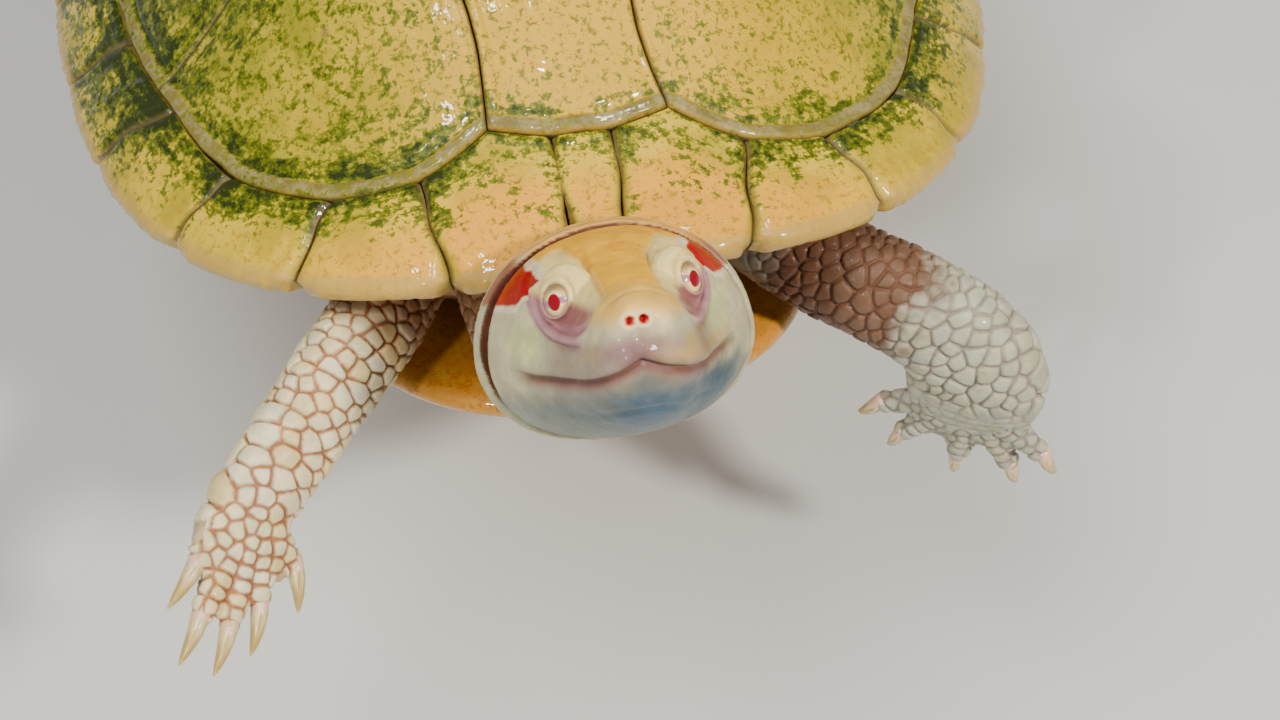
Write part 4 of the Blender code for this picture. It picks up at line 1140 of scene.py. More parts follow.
def remeshed(parts, voxel):
    points, faces, _ = joined(parts)
    mesh = bpy.data.meshes.new("flesh")
    mesh.from_pydata(points, [], [face for group in faces for face in group.tolist()])
    obj = in_scene("flesh", mesh)
    melt = obj.modifiers.new("melt", "REMESH")
    melt.mode = "VOXEL"
    melt.voxel_size = voxel
    return result_of(obj)


def hidden_share(points):
    """1 for skin that only the shell's inside sees, 0 for the rest."""
    turn = np.arctan2(points[:, 0], -points[:, 1])
    middle = ramp(0.7, 0.66, np.hypot(points[:, 0], points[:, 1]) / plan_radius(turn))
    return np.maximum(middle, ramp(40, 36, np.abs(points[:, 1])))


def thinned(mesh, points, keep):
    obj = in_scene("melted", mesh)
    group = obj.vertex_groups.new(name="hidden")
    group.add(np.flatnonzero(hidden_share(points) > 0.5).tolist(), 1.0, "REPLACE")
    thin = obj.modifiers.new("thin", "DECIMATE")
    thin.vertex_group = "hidden"
    thin.vertex_group_factor = HIDDEN_WEIGHT
    thin.ratio = keep
    bm = bmesh.new()
    bm.from_mesh(result_of(obj))
    return bm


melted_skin = remeshed(flesh, VOXEL)
melted_points = np.empty(3 * len(melted_skin.vertices), np.float32)
melted_skin.vertices.foreach_get("co", melted_points)
melted_points = melted_points.reshape(-1, 3).astype(float)
visible = np.mean(hidden_share(melted_points) < 0.5)
skin = thinned(melted_skin, melted_points, visible + 0.02)
print("melted skin:", len(melted_points), "points, of them seen", round(visible, 2), "kept", len(skin.verts))

# %% Smooth a mesh and make it finer in places
def positions(bm):
    return np.array([vert.co[:] for vert in bm.verts])


def relax(points, edges, rounds, share=None):
    """Moves each point towards the mean of its neighbours, by a share that may differ by point."""
    weight = 0.5 if share is None else share[:, None] * 0.5
    degree = np.bincount(edges.ravel(), minlength=len(points))[:, None]
    for _ in range(rounds):
        total_near = np.stack([np.bincount(edges[:, 0], points[edges[:, 1], axis], len(points))
                               + np.bincount(edges[:, 1], points[edges[:, 0], axis], len(points))
                               for axis in range(3)], -1)
        points = points + (total_near / degree - points) * weight
    return points


def finer(bm, chosen):
    bm.verts.ensure_lookup_table()
    edges = [edge for edge in bm.edges if chosen[edge.verts[0].index] and chosen[edge.verts[1].index]]
    bmesh.ops.subdivide_edges(bm, edges=edges, cuts=1, use_grid_fill=True)
    bm.verts.index_update()


def edge_pairs(bm):
    return np.array([(edge.verts[0].index, edge.verts[1].index) for edge in bm.edges])


print("edges of the melted skin:", len(skin.edges))

# %% [markdown]
# ### Where each point of the skin is
# Scales and folds follow the body, so each point needs its place on it: how far along a limb it lies,
# on which toe, and on the upper or the lower side. The distance to each limb's middle line gives that.

# %% Where the eyes are
EYE_RADIUS = 3.9
EYE_CENTRE = np.array((6.8, -2.8, -0.4))
EYE_GAZE = unit(np.array((2.5, 2.8, 0.4)))


def eye_frame(side):
    """The eye's centre, gaze, lateral and upper directions in the head's space."""
    mirror = np.array((side, 1, 1))
    gaze = EYE_GAZE * mirror
    lateral = unit(np.array((side, 0, 0)) - gaze * gaze[0] * side)
    upper = np.cross(lateral, gaze)
    return EYE_CENTRE * mirror, gaze, lateral, upper * np.sign(upper[2])


print("eyeballs:", 2 * EYE_RADIUS, "mm, with", 2 * EYE_CENTRE[0], "mm between their middles")

# %% Where a point lies along a limb
PAST_WRIST = 2.2      # the middle line goes on past the wrist by this many palm lengths
LIMB_ZONE = 26.0      # skin further from a limb's middle line than this belongs to the trunk, mm


def limb_distance(points, name):
    """Distance to a limb's middle line, and how far along it from the trunk, both in millimetres."""
    wrist, axes, _, palm = limb_place(name)
    path = smooth_path([centre for centre, _, _ in LIMBS[name]["sections"]], 3)
    path = np.vstack([path, wrist + axes[1] * palm * PAST_WRIST])
    best, along, start = np.full(len(points), np.inf), np.zeros(len(points)), 0.0
    for a, b in zip(path, path[1:]):
        length = np.linalg.norm(b - a)
        share = np.clip((points - a) @ (b - a) / length ** 2, 0, 1)
        far = np.linalg.norm(points - a - share[:, None] * (b - a), axis=1)
        nearer = far < best
        best[nearer], along[nearer] = far[nearer], start + share[nearer] * length
        start += length
    return best, along


def on_forelegs(points):
    near = np.zeros(len(points), bool)
    for name in ("front_right", "front_left"):
        far, along = limb_distance(points, name)
        near |= (far < LIMB_ZONE) & (along > 20)
    return near & (points[:, 1] < -70) & (to_head(points)[:, 1] < -21)

# %% Finer skin where scales and folds go
skin_points = relax(positions(skin), edge_pairs(skin), 3)
in_head = to_head(skin_points)
closely = (in_head[:, 1] > -23) | on_forelegs(skin_points)
for vert, point in zip(skin.verts, skin_points):
    vert.co = point
if FINE:
    finer(skin, closely)
    near_eye = np.zeros(len(skin.verts), bool)
    in_head = to_head(positions(skin))
    for side, _ in SIDES:
        centre, gaze, lateral, upper = eye_frame(side)
        ray = in_head - centre
        far = np.linalg.norm(ray, axis=1)
        near_eye |= (ray @ gaze > 0.45 * far) & (far < 8)
    finer(skin, near_eye)
skin_points = relax(positions(skin), edge_pairs(skin), 3)
print("skin after refining:", len(skin_points), "points")

# %% Which way the skin faces
def point_normals(bm, points):
    for vert, point in zip(bm.verts, points):
        vert.co = point
    bm.normal_update()
    return np.array([vert.normal[:] for vert in bm.verts])


skin_normals = point_normals(skin, skin_points)
print("normals:", len(skin_normals))

# %% [markdown]
# ### The face
# An adult slider's eyes stand up as low turrets, each with a folded, pinkish lower lid and a pale domed
# upper lid. The skin round each eye is pushed to its distance from the eyeball's middle, so the lids
# wrap the ball exactly. The mouth is a crease under a soft lip, and the nostrils are two small pits.

# %% Sizes of the lids and the mouth
# The opening between the lids and its middle, in degrees round the gaze (across, up).
LID_OPENING = (37.0, 34.5)
LID_CENTRE = (7.0, 6.5)
# Each lid: (degrees outside the opening, millimetres from the eyeball's middle).
LOWER_LID = ((-5, 3.1), (-1.5, 3.8), (0.6, 4.08), (2, 4.17), (4, 4.1), (10, 4.02), (16, 4.12),
             (24, 4.6), (30, 4.7))
UPPER_LID = ((-5, 3.1), (-1.5, 3.85), (1, 4.32), (4, 4.5), (9, 4.5), (18, 4.85), (30, 5.1), (44, 5.1))
# The mound of eye and lids seen from in front: half sizes, its middle from the pupil, and its lean, in mm.
MOUND = (4.1, 5.6)
MOUND_MIDDLE = (1.25, 0.1)
MOUND_LEAN = 0.12
# The mouth's line as (millimetres aside, height), and the nostrils as (x, u).
MOUTH_MIDDLE = -0.8
MOUTH = ((0, -7.6), (1.3, -8.2), (3, -9), (6, -9.8), (9, -10.2), (12, -10.2), (15, -9.4), (17, -8.7))
NOSTRILS = ((-1.65, -2.3), (0.15, -2.3))
print("the mouth is about", 2 * MOUTH[-1][0], "mm wide")

# %% Wrap the lids round the eyes
def lid_place(in_head, side):
    """Round one eye: ray from its middle and its length, degrees off the gaze, millimetres above the pupil,
    degrees outside the opening, and the place on the mound of eye and lids, 1 at its edge."""
    centre, gaze, lateral, upper = eye_frame(side)
    ray = in_head - centre
    far = np.linalg.norm(ray, axis=1)
    straight = ray / far[:, None]
    off = np.degrees(np.arccos(np.clip(straight @ gaze, -1, 1)))
    across, rise = straight @ lateral, straight @ upper
    outward = np.hypot(across, rise) + 1e-9
    x, y = off * across / outward, off * rise / outward
    beyond = np.hypot((x - LID_CENTRE[0]) / LID_OPENING[0], (y - LID_CENTRE[1]) / LID_OPENING[1]) - 1
    pupil = centre + gaze * EYE_RADIUS
    inward, above = (pupil[0] - in_head[:, 0]) * side, in_head[:, 2] - pupil[2]
    mound = np.hypot((inward - MOUND_MIDDLE[0] - MOUND_LEAN * above) / MOUND[0],
                     (above - MOUND_MIDDLE[1]) / MOUND[1])
    return ray, far, off, above + 0.3 * inward, beyond * LID_OPENING[1], mound


def with_lids(in_head):
    for side, _ in SIDES:
        ray, far, off, above, beyond, mound = lid_place(in_head, side)
        upward = ramp(-0.8, 1.6, above)
        wrinkles = 0.06 * np.sin(beyond * 0.62 + 3 * noise(in_head, 2.5, 71)) * ramp(6, 14, beyond)
        wrinkles -= 0.12 * hump(beyond - 9, 3)
        domed = np.interp(beyond, *zip(*UPPER_LID)) + wrinkles
        lid = mix(np.interp(beyond, *zip(*LOWER_LID)), domed, upward)
        dome = mix(4.1, lid, upward) * mix(1, 0.88, ramp(74, 100, off))
        soft = mix(0.4, 0.9, upward)
        gap = np.clip(0.5 + 0.5 * (far - dome) / soft, 0, 1)
        union = mix(dome, far, gap) + 0.5 * soft * gap * (1 - gap)
        new = mix(union, lid, mix(ramp(0.7, 0.62, mound) * ramp(80, 62, off), ramp(54, 42, off), upward))
        share = ramp(112, 84, off) * ramp(9, 8, far)
        in_head = in_head + ray / far[:, None] * ((new - far) * share)[:, None]
    return in_head

# %% Mouth, nostrils, folds and collar
NOSTRIL_RADIUS = 0.62
NOSTRIL_DEPTH = 1.1
COLLAR_FOLDS = ((0.5, -20.9), (0.45, -22.2), (0.5, -23.8), (0.5, -25.6))     # (depth, f)


def mouth_place(in_head):
    aside = np.abs(in_head[:, 0] - MOUTH_MIDDLE)
    above = in_head[:, 2] - np.interp(aside, *zip(*MOUTH))
    return above, ramp(-10.5, -6, in_head[:, 1]) * ramp(18, 12, aside)


def head_outline(in_head):
    _, half_width, top, bottom = HEAD_SECTIONS[WIDEST]
    middle, half_height = (top + bottom) / 2, (top - bottom) / 2
    rise = (in_head[:, 2] - middle) / half_height
    across = np.abs(in_head[:, 0]) / (half_width * (1 - HEAD_TAPER * rise))
    reach = (across ** HEAD_ROUNDNESS + np.abs(rise) ** HEAD_ROUNDNESS) ** (1 / HEAD_ROUNDNESS)
    return (reach - 1) * half_width


def muzzle_relief(in_head):
    x, f, u = in_head.T
    above, lips = mouth_place(in_head)
    aside = np.abs(x - MOUTH_MIDDLE)
    relief = lips * (0.5 * hump(above - 1.3, 1.1) - 0.8 * hump(above, 0.42) - 0.35 * ramp(0.3, -0.6, above)
                     * ramp(-7, -2, above) + 0.25 * hump(above + 1.5, 0.9))
    relief += 0.3 * hump(aside - 7.5, 3) * hump(above - 2.2, 1.8) * lips
    front = ramp(11.5, 13, f)
    for place in NOSTRILS:
        far = np.hypot(x - place[0], u - place[1])
        relief += front * (0.14 * hump(far - 0.95, 0.35) - NOSTRIL_DEPTH * ramp(NOSTRIL_RADIUS, 0.35, far))
    relief -= 0.16 * front * hump(x - MOUTH_MIDDLE, 0.35) * ramp(-7.3, -5.8, u) * ramp(-2.6, -3.6, u)
    relief -= 0.14 * hump(f - 11.4, 0.6) * ramp(5.5, 3.5, aside) * ramp(-2, 0, u)
    return relief - 0.25 * hump(np.abs(x) - 4.3, 0.7) * ramp(-12, -6, f) * ramp(9, 5, f) * ramp(0, 2, u)


def face_relief(in_head):
    x, f, u = in_head.T
    relief = muzzle_relief(in_head)
    aside = np.abs(x - MOUTH_MIDDLE)
    for side, _ in SIDES:
        _, far, _, above_eye, _, mound = lid_place(in_head, side)
        lower = 0.5 * hump(mound - 0.86, 0.1) - 0.3 * hump(mound - 0.7, 0.06)
        lower -= 0.55 * hump(mound - 1.03, 0.06)
        rings = mix(lower, -0.35 * hump(mound - 1.03, 0.08), ramp(-0.8, 1.6, above_eye))
        relief += rings * ramp(13, 11, far) * ramp(0.6, 0.68, mound)
    chin_fold = hump(u + 14.6 + 0.1 * aside + 0.7 * noise(in_head, 6, 73), 0.5)
    relief -= 0.22 * ramp(-10, -14, u) * chin_fold * ramp(12, 8, aside)
    relief += 0.16 * noise(in_head, 5, 74, 3) + 0.03 * noise(in_head, 1.2, 75, 2)
    collar = ramp(-18.4, -19.4, f)
    around = np.degrees(np.arctan2(in_head[:, 2] + 7.5, x))
    waver = 0.35 * np.sin(np.radians(around * 3)) + 0.5 * noise(in_head, 9, 76)
    relief -= 1.3 * hump(f + 18.6, 0.45)
    for depth, place in COLLAR_FOLDS:
        relief -= collar * depth * hump(f - place - waver, 0.42) * ramp(-32, -26, f)
    relief -= 0.3 * hump(f + 17.2 + 0.6 * waver, 0.5) * ramp(2, -4, u) * ramp(-16, -10, u)
    return relief * ramp(-34, -28, f)


in_head = to_head(skin_points)
face_share = ramp(-34, -28, in_head[:, 1])
skin_points = skin_points + skin_normals * (face_relief(in_head) * face_share)[:, None]
in_head = to_head(skin_points)
skin_points = np.where(face_share[:, None] > 0, from_head(with_lids(in_head)), skin_points)
print("points of the face and collar:", int(np.sum(face_share > 0)))

# %% [markdown]
# ### Scales
# The scales of the limbs are domes of thick horny skin with softer pink skin between them. Seeds are
# scattered so that no two are nearer than the size of a scale there. Each point then knows how far it
# is from its nearest seed and the next one, which is all that a dome with a groove round it needs.

# %% Scatter seeds that keep their distance
SCATTER_TRIES = 9000
SCATTER_SEED = 7
CROWDING = 0.92       # how near two scales may come, in their mean size


def scatter(points, size, first):
    """Indices of points no nearer to each other than `size`, starting from the `first` ones."""
    rng = np.random.default_rng(SCATTER_SEED)
    order = list(first) + rng.permutation(len(points))[:SCATTER_TRIES].tolist()
    cell, cells, kept = size.max(), {}, []
    for index in order:
        key = tuple(np.floor(points[index] / cell).astype(int))
        near = [other for step in itertools.product((-1, 0, 1), repeat=3)
                for other in cells.get(tuple(np.add(key, step)), ())]
        if near:
            room = 0.5 * (size[near] + size[index])
            if (np.linalg.norm(points[near] - points[index], axis=1) < room * CROWDING).any():
                continue
        cells.setdefault(key, []).append(index)
        kept.append(index)
    return kept


def nearest_seeds(points, seeds, size):
    """For each point, its distance to the nearest scale's middle and to the next, in scale sizes."""
    tree = kdtree.KDTree(len(seeds))
    for number, index in enumerate(seeds):
        tree.insert(points[index], number)
    tree.balance()
    found = np.array([[(far, number) for _, number, far in tree.find_n(point, 4)] for point in points])
    share = found[:, :, 0] / size[seeds][found[:, :, 1].astype(int)]
    order = np.argsort(share, axis=1)[:, :2]
    rows = np.arange(len(points))
    return share[rows, order[:, 0]], share[rows, order[:, 1]], found[rows, order[:, 0], 1].astype(int)

# %% Sizes of the scales in millimetres
PLAIN_SCALE = 2.9
FOLDED_SCALE = 2.3     # high on the leg, in the folds by the shell
EDGE_SCALE = 4.4       # the broad ones along the outer edge of the forearm
UNDER_SCALE = 2.2
HAND_SCALE = 1.9
TOE_SCALE = 2.15
LENGTHENING = 0.28     # scales of the leg are this much longer across it than along it


def scale_sizes(points, reach, outer, upper, forward, palm):
    """How large the scales are at each point; `outer` and `upper` say which way the skin faces."""
    size = np.full(len(points), PLAIN_SCALE) * (1 + 0.25 * noise(points, 5, 93))
    size = mix(size, FOLDED_SCALE, ramp(-28, -40, reach))
    edge = ramp(0.55, 0.85, outer) * ramp(-17, -10, reach) * ramp(palm * 1.25, palm * 0.9, reach)
    size = mix(size, EDGE_SCALE, edge)
    size = mix(size, UNDER_SCALE, ramp(-0.2, -0.7, upper) * ramp(0.75, 0.4, outer))
    return mix(size, HAND_SCALE, ramp(-2, 2, forward) * ramp(0.7, 0.4, outer))


print("scales from", HAND_SCALE, "to", EDGE_SCALE, "mm")

# %% Raise the scales of a limb
def limb_scales(name, points, normals):
    """The limb's points, their relief, groove share and reach from the wrist, scale number and web share."""
    wrist, axes, back, palm = limb_place(name)
    far, along = limb_distance(points, name)
    start = along.max() - np.linalg.norm(axes[1] * palm * PAST_WRIST)
    chosen = (far < LIMB_ZONE) & (along > 14) & (np.abs(points[:, 1]) > 60) & (to_head(points)[:, 1] < -21)
    index = np.flatnonzero(chosen)
    points, normals, reach = points[index], normals[index], along[index] - start
    local = points - wrist
    forward, sideways, up = local @ axes[1], local @ axes[0], local @ back
    outer, upper = np.sum(normals * -axes[0], axis=1), np.sum(normals * back, axis=1)
    size = scale_sizes(points, reach, outer, upper, forward, palm)
    first, on_toes = [], np.zeros(len(index))
    for degrees, length in LIMBS[name]["toes"]:
        aim = toe_aim(axes, degrees)
        down, aside = local @ aim, local @ np.cross(aim, back)
        on_toe = (np.abs(aside) < 2.4) & (down > 0.42 * length) & (up > -0.6)
        on_toes[on_toe] = 1.0
        size[on_toe] = TOE_SCALE
        for step in np.arange(0.45 * length, length + 0.3, TOE_SCALE):
            spot = wrist + aim * step + back * 2.1
            first.append(int(np.argmin(np.linalg.norm(points - spot, axis=1))))
    main = unit(np.array(LIMBS[name]["sections"][-1][0]) - np.array(LIMBS[name]["sections"][2][0]))
    longer = (local @ main * LENGTHENING * ramp(0, -4, forward))[:, None] * main
    seeds = scatter(points + longer, size, first)
    nearest, following, number = nearest_seeds(points + longer, seeds, size)
    gap = (following - nearest) * size
    chance = np.random.default_rng(3).uniform(0.75, 1.2, len(seeds))[number]
    groove = ramp(0.8, 0.2, gap + 0.25 * noise(points, 0.8, 92))
    swell = np.sqrt(1 - np.minimum(nearest / 0.85, 1) ** 2)
    height = (0.25 * np.minimum(size, 4.0)) * chance * (0.8 * ramp(0.05, 0.95, gap) + 0.55 * swell - 0.6)
    fold = ramp(-46, -38, reach)
    height, groove = height * mix(0.35, 1, fold), groove * mix(0.5, 1, fold)
    web = (np.abs(up) < 1.3) & (forward > 0.55 * palm) & (on_toes < 0.5)
    wrinkle = 0.14 * noise(np.column_stack([forward * 2.2, sideways * 0.5, up]), 1.6, 91, 2)
    height, groove = np.where(web, wrinkle, height), np.where(web, 0.25, groove)
    if name == "front_left":
        hand = ramp(-3, 2, forward) * (1 - on_toes)
        folds = 0.1 * np.sin(3.2 * forward + 2 * noise(points, 4, 94))
        height, groove = mix(height, folds, 0.75 * hand), groove * (1 - 0.7 * hand)
    return index, height, groove, reach, number, web


relief, skin_groove, skin_limb, skin_reach, skin_web, skin_tone = np.zeros((6, len(skin_points)))
for limb_number, limb_name in enumerate(LIMBS, 1):
    index, height, groove, reach, number, web = limb_scales(limb_name, skin_points, skin_normals)
    relief[index] = height
    skin_groove[index] = groove
    skin_limb[index] = limb_number
    skin_reach[index] = reach
    skin_web[index] = web
    skin_tone[index] = np.random.default_rng(5).uniform(-1, 1, number.max() + 1)[number]
    print(limb_name, "scales:", number.max() + 1)

# %% Wrinkled neck, shoulders and tail
# Wrinkles of the neck run round it, so the noise is stretched across.
loose = (skin_limb == 0) & (in_head[:, 1] < -24) & (hidden_share(skin_points) < 0.9)
soft = skin_points[loose] * np.array((0.6, 1.3, 1.0))
relief[loose] = 0.35 * noise(soft, 3.2, 95, 2) + 0.1 * noise(soft, 1.1, 96)
skin_points = skin_points + skin_normals * relief[:, None]
print("relief from", relief.min().round(2), "to", relief.max().round(2), "mm")

# %% [markdown]
# ### The skin's colours
# Skin could be painted by hand on an image, but an image is tied to one mesh. Here each marking, and each
# patch of painted shade or painted reflection, is a mask worked out from a point's place on the body and a
# little noise, and it is laid over the ones before it, from the ground colour up to the finest marks.

# %% Crown, cheeks and muzzle
def laid(colour, *layers):
    """Colours with layers over them, each a hex value and a mask; a mask is also the layer's strength."""
    for code, mask in layers:
        colour = mix(colour, np.array(linear(code)), np.clip(mask, 0, 1)[:, None])
    return colour


def crown_and_cheeks(colour, in_head, mottle, normals):
    """Ivory cheeks with yellow mottles, and the orange-yellow crown between the eyes and behind them."""
    x, f, u = in_head.T
    aside = np.abs(x - MOUTH_MIDDLE)
    fine = noise(in_head, 1.2, 102, 3)
    top = ramp(0.15, 0.6, normals @ HEAD_AXES[2])
    cheek = hump(aside - 7.5, 3) * hump(u + 6.5, 1.6)
    crown = np.maximum(ramp(5.6, 4.2, aside) * ramp(14, 11, f), ramp(-4, -7, f)) * ramp(-0.5, 1.5, u) * top
    return laid(
        colour,
        ("#bfb896", ramp(-30, -26, f)),
        ("#d8cf9c", ramp(0, 0.5, mottle) * ramp(-26, -20, f) * 0.7),
        ("#c3ce86", hump(aside - 12.5, 2.6) * hump(u + 5.6, 2.6) * ramp(-13, -9, f) * 0.8),
        ("#8c7d74", ramp(14, 9, aside) * ramp(-3.6, -6.2, u + 0.5 * mottle) * ramp(-6, 0, f) * 0.8),
        ("#b39a4c", cheek * ramp(-2, 2, f) * ramp(-0.2, 0.4, mottle) * 0.7),
        ("#f8b81c", crown * ramp(-21, -19, f) * 0.95),
        ("#e8922c", crown * ramp(0, 0.5, fine + 0.5 * mottle) * ramp(2, -4, f) * 0.6),
        ("#de7c4a", crown * ramp(0.25, 0.6, fine) * ramp(-6, -9, f) * hump(x - 2, 5) * 0.6))


def muzzle_and_chin(colour, in_head, mottle):
    """A yellow snout, a mauve muzzle, the mouth's crease painted dark as shade, a grey-green jaw darker
    towards the bottom, and painted shade with a painted blue reflection on the left and under the chin.
    """
    x, f, u = in_head.T
    above, lips = mouth_place(in_head)
    # Painted shade: a greyer jaw on the animal's left; under the chin and on the left jaw, painted shade
    # with a painted blue reflection.
    left_side_shade = mix(0.35, 1, ramp(-9, 0, x))
    chin_shade_and_reflection = ramp(-11, -14.5, u + 2.6 * mottle) * ramp(9, 2, np.abs(x - 1)) * ramp(-2, 5, f)
    left_jaw_shade_and_reflection = ramp(4, 9, x) * ramp(-9.5, -13, u + 2 * mottle) * ramp(-12, -6, f)
    return laid(
        colour,
        ("#e8b957", ramp(6, 11, f) * ramp(-3.8, -1, u) * 0.9),
        ("#b8924f", lips * hump(above - 1.8, 1.3) * 0.6 * ramp(-0.3, 0.3, mottle + 0.1 * x)),
        ("#7d565c", hump(x - MOUTH_MIDDLE + 0.8, 4.2) * hump(u + 6, 2.3) * ramp(6, 10, f) * 0.85),
        ("#64736e", ramp(-0.8, -3.5, above) * lips * 0.85 * left_side_shade),
        ("#52676a", ramp(-11, -15, u + 1.2 * mottle) * 0.85 * mix(0.7, 1, left_side_shade)),
        ("#2f4d70", chin_shade_and_reflection * 0.6),
        ("#24475a", left_jaw_shade_and_reflection * 0.75),
        ("#4a5b50", ramp(-17, -20, u + 1.4 * mottle) * 0.6),
        # Painted shade: the mouth's crease and the skin just under it darker.
        ("#6f4540", lips * hump(above + 0.2, 0.75) * 0.85),
        ("#7b4f4a", lips * hump(above + 0.8, 0.9) * 0.4))

# %% Lids, ear patches, collar and nostrils
def lid_colours(colour, in_head, mottle):
    """A pink folded lower lid, painted darker in its grooves and towards the eye as shade, a pale yellow
    upper lid, and painted shade in the opening between the lids.
    """
    for side, _ in SIDES:
        _, far, off, above_eye, beyond, mound = lid_place(in_head, side)
        here, upward = ramp(13, 11, far), ramp(-0.6, 1.4, above_eye)
        lower, soft = here * (1 - upward), mound + 0.03 * mottle
        colour = laid(
            colour,
            ("#b4838f", lower * ramp(1.1, 0.92, soft) * 0.9),
            # Painted shade: dusky rings in the lid's grooves, and the lid darker towards the eye.
            ("#8a5068", lower * hump(soft - 0.99, 0.05) * 0.45),
            ("#8a4c58", lower * hump(soft - 0.71, 0.06) * 0.7),
            ("#8f5450", lower * ramp(0.68, 0.56, soft) * 0.8),
            ("#f2de92", here * ramp(1.08, 0.92, soft) * upward * 0.95),
            ("#d3a85a", here * hump(beyond - 12, 4) * upward * 0.5),
            ("#e6c79a", (off < 80) * hump(beyond - 1.6, 1.2) * 0.6),
            # Painted shade: dark red in the opening where the skin turns in under the lids.
            ("#6e2c2c", (off < 80) * ramp(-0.5, -3, beyond)))
    return colour


def ear_and_collar(colour, in_head):
    """The red patch behind each eye with its pale border, and the collar, with painted shade as a dark line
    in the fold before it.
    """
    x, f, u = in_head.T
    ragged = 0.22 * noise(in_head, 1.6, 103, 2)
    low = np.interp(f, (-21, -9.3), (-0.9, -0.7)) + ragged
    high = np.interp(f, (-21, -15, -8.3), (4.7, 3.8, 2.4)) + ragged
    ahead = np.interp(u, (-0.5, 2.5), (-10.2, -8.4)) + ragged
    inside = np.minimum(np.minimum(u - low, high - u), ahead - f)
    head_side, behind = ramp(7.5, 8.5, np.abs(x)), ramp(-18.9, -19.4, f)
    patch, on_collar = head_side * ramp(-19.4, -18.9, f), behind * ramp(-24, -22.5, f)
    # Painted shade: a dark line in the fold between the head and the collar.
    fold_shade_width = 0.3 + 0.55 * ramp(-11, -7, u) * ramp(5, 2, u) * (x < 0)
    fold = ramp(0.25, 0, head_outline(in_head) - fold_shade_width) * ramp(-17.7, -18.1, f)
    return laid(
        colour,
        ("#e9dcc0", patch * ramp(-1.2, -0.6, inside) * 0.85),
        ("#ab0f14", patch * ramp(-0.15, 0.15, inside)),
        ("#b9b592", on_collar * 0.9),
        ("#84261c", head_side * on_collar * ramp(-0.3, 0.3, inside) * ramp(-23, -21, f) * 0.75),
        ("#d8a24c", behind * ramp(0.5, 3.5, u) * ramp(15, 10, np.abs(x - 1)) * 0.9),
        ("#552313", fold * ramp(-20.4, -19.6, f) * ramp(-17, -12, u) * 0.95))


def face_colours(colour, in_head, normals):
    mottle = noise(in_head, 3, 101, 3)
    colour = crown_and_cheeks(colour, in_head, mottle, normals)
    colour = muzzle_and_chin(colour, in_head, mottle)
    colour = ear_and_collar(lid_colours(colour, in_head, mottle), in_head)
    front = ramp(11.5, 13, in_head[:, 1])
    for x, u in NOSTRILS:
        far = np.hypot(in_head[:, 0] - x, in_head[:, 2] - u)
        colour = laid(colour, ("#f3dcb0", front * hump(far - 0.95, 0.3) * 0.6),
                      ("#b20d1c", front * ramp(0.72, 0.55, far)))
    return colour

# %% Limbs and trunk
def limb_colours(colour, points):
    """Cream scales on redder skin, painted brown as shade at the root; the left foreleg painted greyer as
    shade, with a brown patch above the elbow darkened by painted shade.
    """
    limb = skin_limb > 0
    shaded_left_arm = skin_limb == list(LIMBS).index("front_left") + 1
    mottle, fine = noise(points, 7, 111, 3), noise(points, 1.6, 112, 2)
    upper_arm_patch_and_shade = ramp(-14, -22, skin_reach + 6 * mottle + 3 * fine) * ramp(-46, -38, skin_reach)
    return laid(
        colour,
        ("#ddd2a8", limb),
        ("#d9bd78", limb * ramp(0.2, 1, skin_tone + 0.5 * mottle) * 0.6),
        ("#e9e2c6", limb * ramp(-0.2, -1, skin_tone) * 0.6),
        ("#94552f", limb * skin_groove * 0.9),
        ("#b59c7c", limb * skin_web * 0.7),
        # Painted shade: brown at the root, where the limb goes into the shell.
        ("#7c4526", limb * ramp(-27, -36, skin_reach + 4 * mottle) * 0.8),
        # Painted shade: the left foreleg greyer, and its brown patch above the elbow darker.
        ("#8a9690", shaded_left_arm * 0.65),
        ("#5f3216", shaded_left_arm * upper_arm_patch_and_shade * 0.85))


skin_normals = point_normals(skin, skin_points)
in_head = to_head(skin_points)
grey = noise(skin_points, 2.2, 121, 3)
on_tail = ramp(70, 84, skin_points[:, 1]) * (skin_limb == 0)
skin_colour_and_painted_light = laid(np.tile(np.array(linear("#6d604a")), (len(skin_points), 1)),
            ("#433c30", ramp(0, 0.5, grey)), ("#8d7f62", ramp(-0.1, -0.5, grey) * 0.7),
            ("#b9a873", on_tail * ramp(1.2, 0.2, grey + 0.6)))
skin_colour_and_painted_light = limb_colours(skin_colour_and_painted_light, skin_points)
of_face = (in_head[:, 1] > -31) & (skin_limb == 0)
skin_colour_and_painted_light = np.where(of_face[:, None], face_colours(skin_colour_and_painted_light, in_head, skin_normals), skin_colour_and_painted_light)
skin_colour_and_painted_light[:, 3] = 1.0
coarse = np.where(skin_limb > 0, 0.15, ramp(-24, -28, in_head[:, 1])) + 0.04
print("mean skin colour:", skin_colour_and_painted_light.mean(axis=0).round(3))

# %% Skin object
skin_faces = {}
for face in skin.faces:
    skin_faces.setdefault(len(face.verts), []).append([vert.index for vert in face.verts])
skin_faces = [np.array(group) for group in skin_faces.values()]
skin_object = mesh_object("skin", skin_points, skin_faces,
                          [("skin_colour_and_painted_light", skin_colour_and_painted_light), ("coarse", coarse), ("place_mm", skin_points)])
FLESH_NODES = ["head", "lower_jaw", "neck", "trunk", "tail"]
FLESH_NODES += [f"{part}_{limb_name}" for part in ("leg", "foot") for limb_name in LIMBS]
finish_piece(skin_object, skin_finish, "head_skin", *FLESH_NODES)
skin.free()
print("skin:", len(skin_object.data.polygons), "faces")

# %% [markdown]
# ## Eyes
# An albino's iris has no pigment: it is cream, and blood behind the pupil makes that crimson. A slider's
# eye has a dusky bar through the pupil, here a faint mauve. The ball's colours follow the distance from
# the pupil, measured over the ball in millimetres, so their edges are as sharp as the render allows.

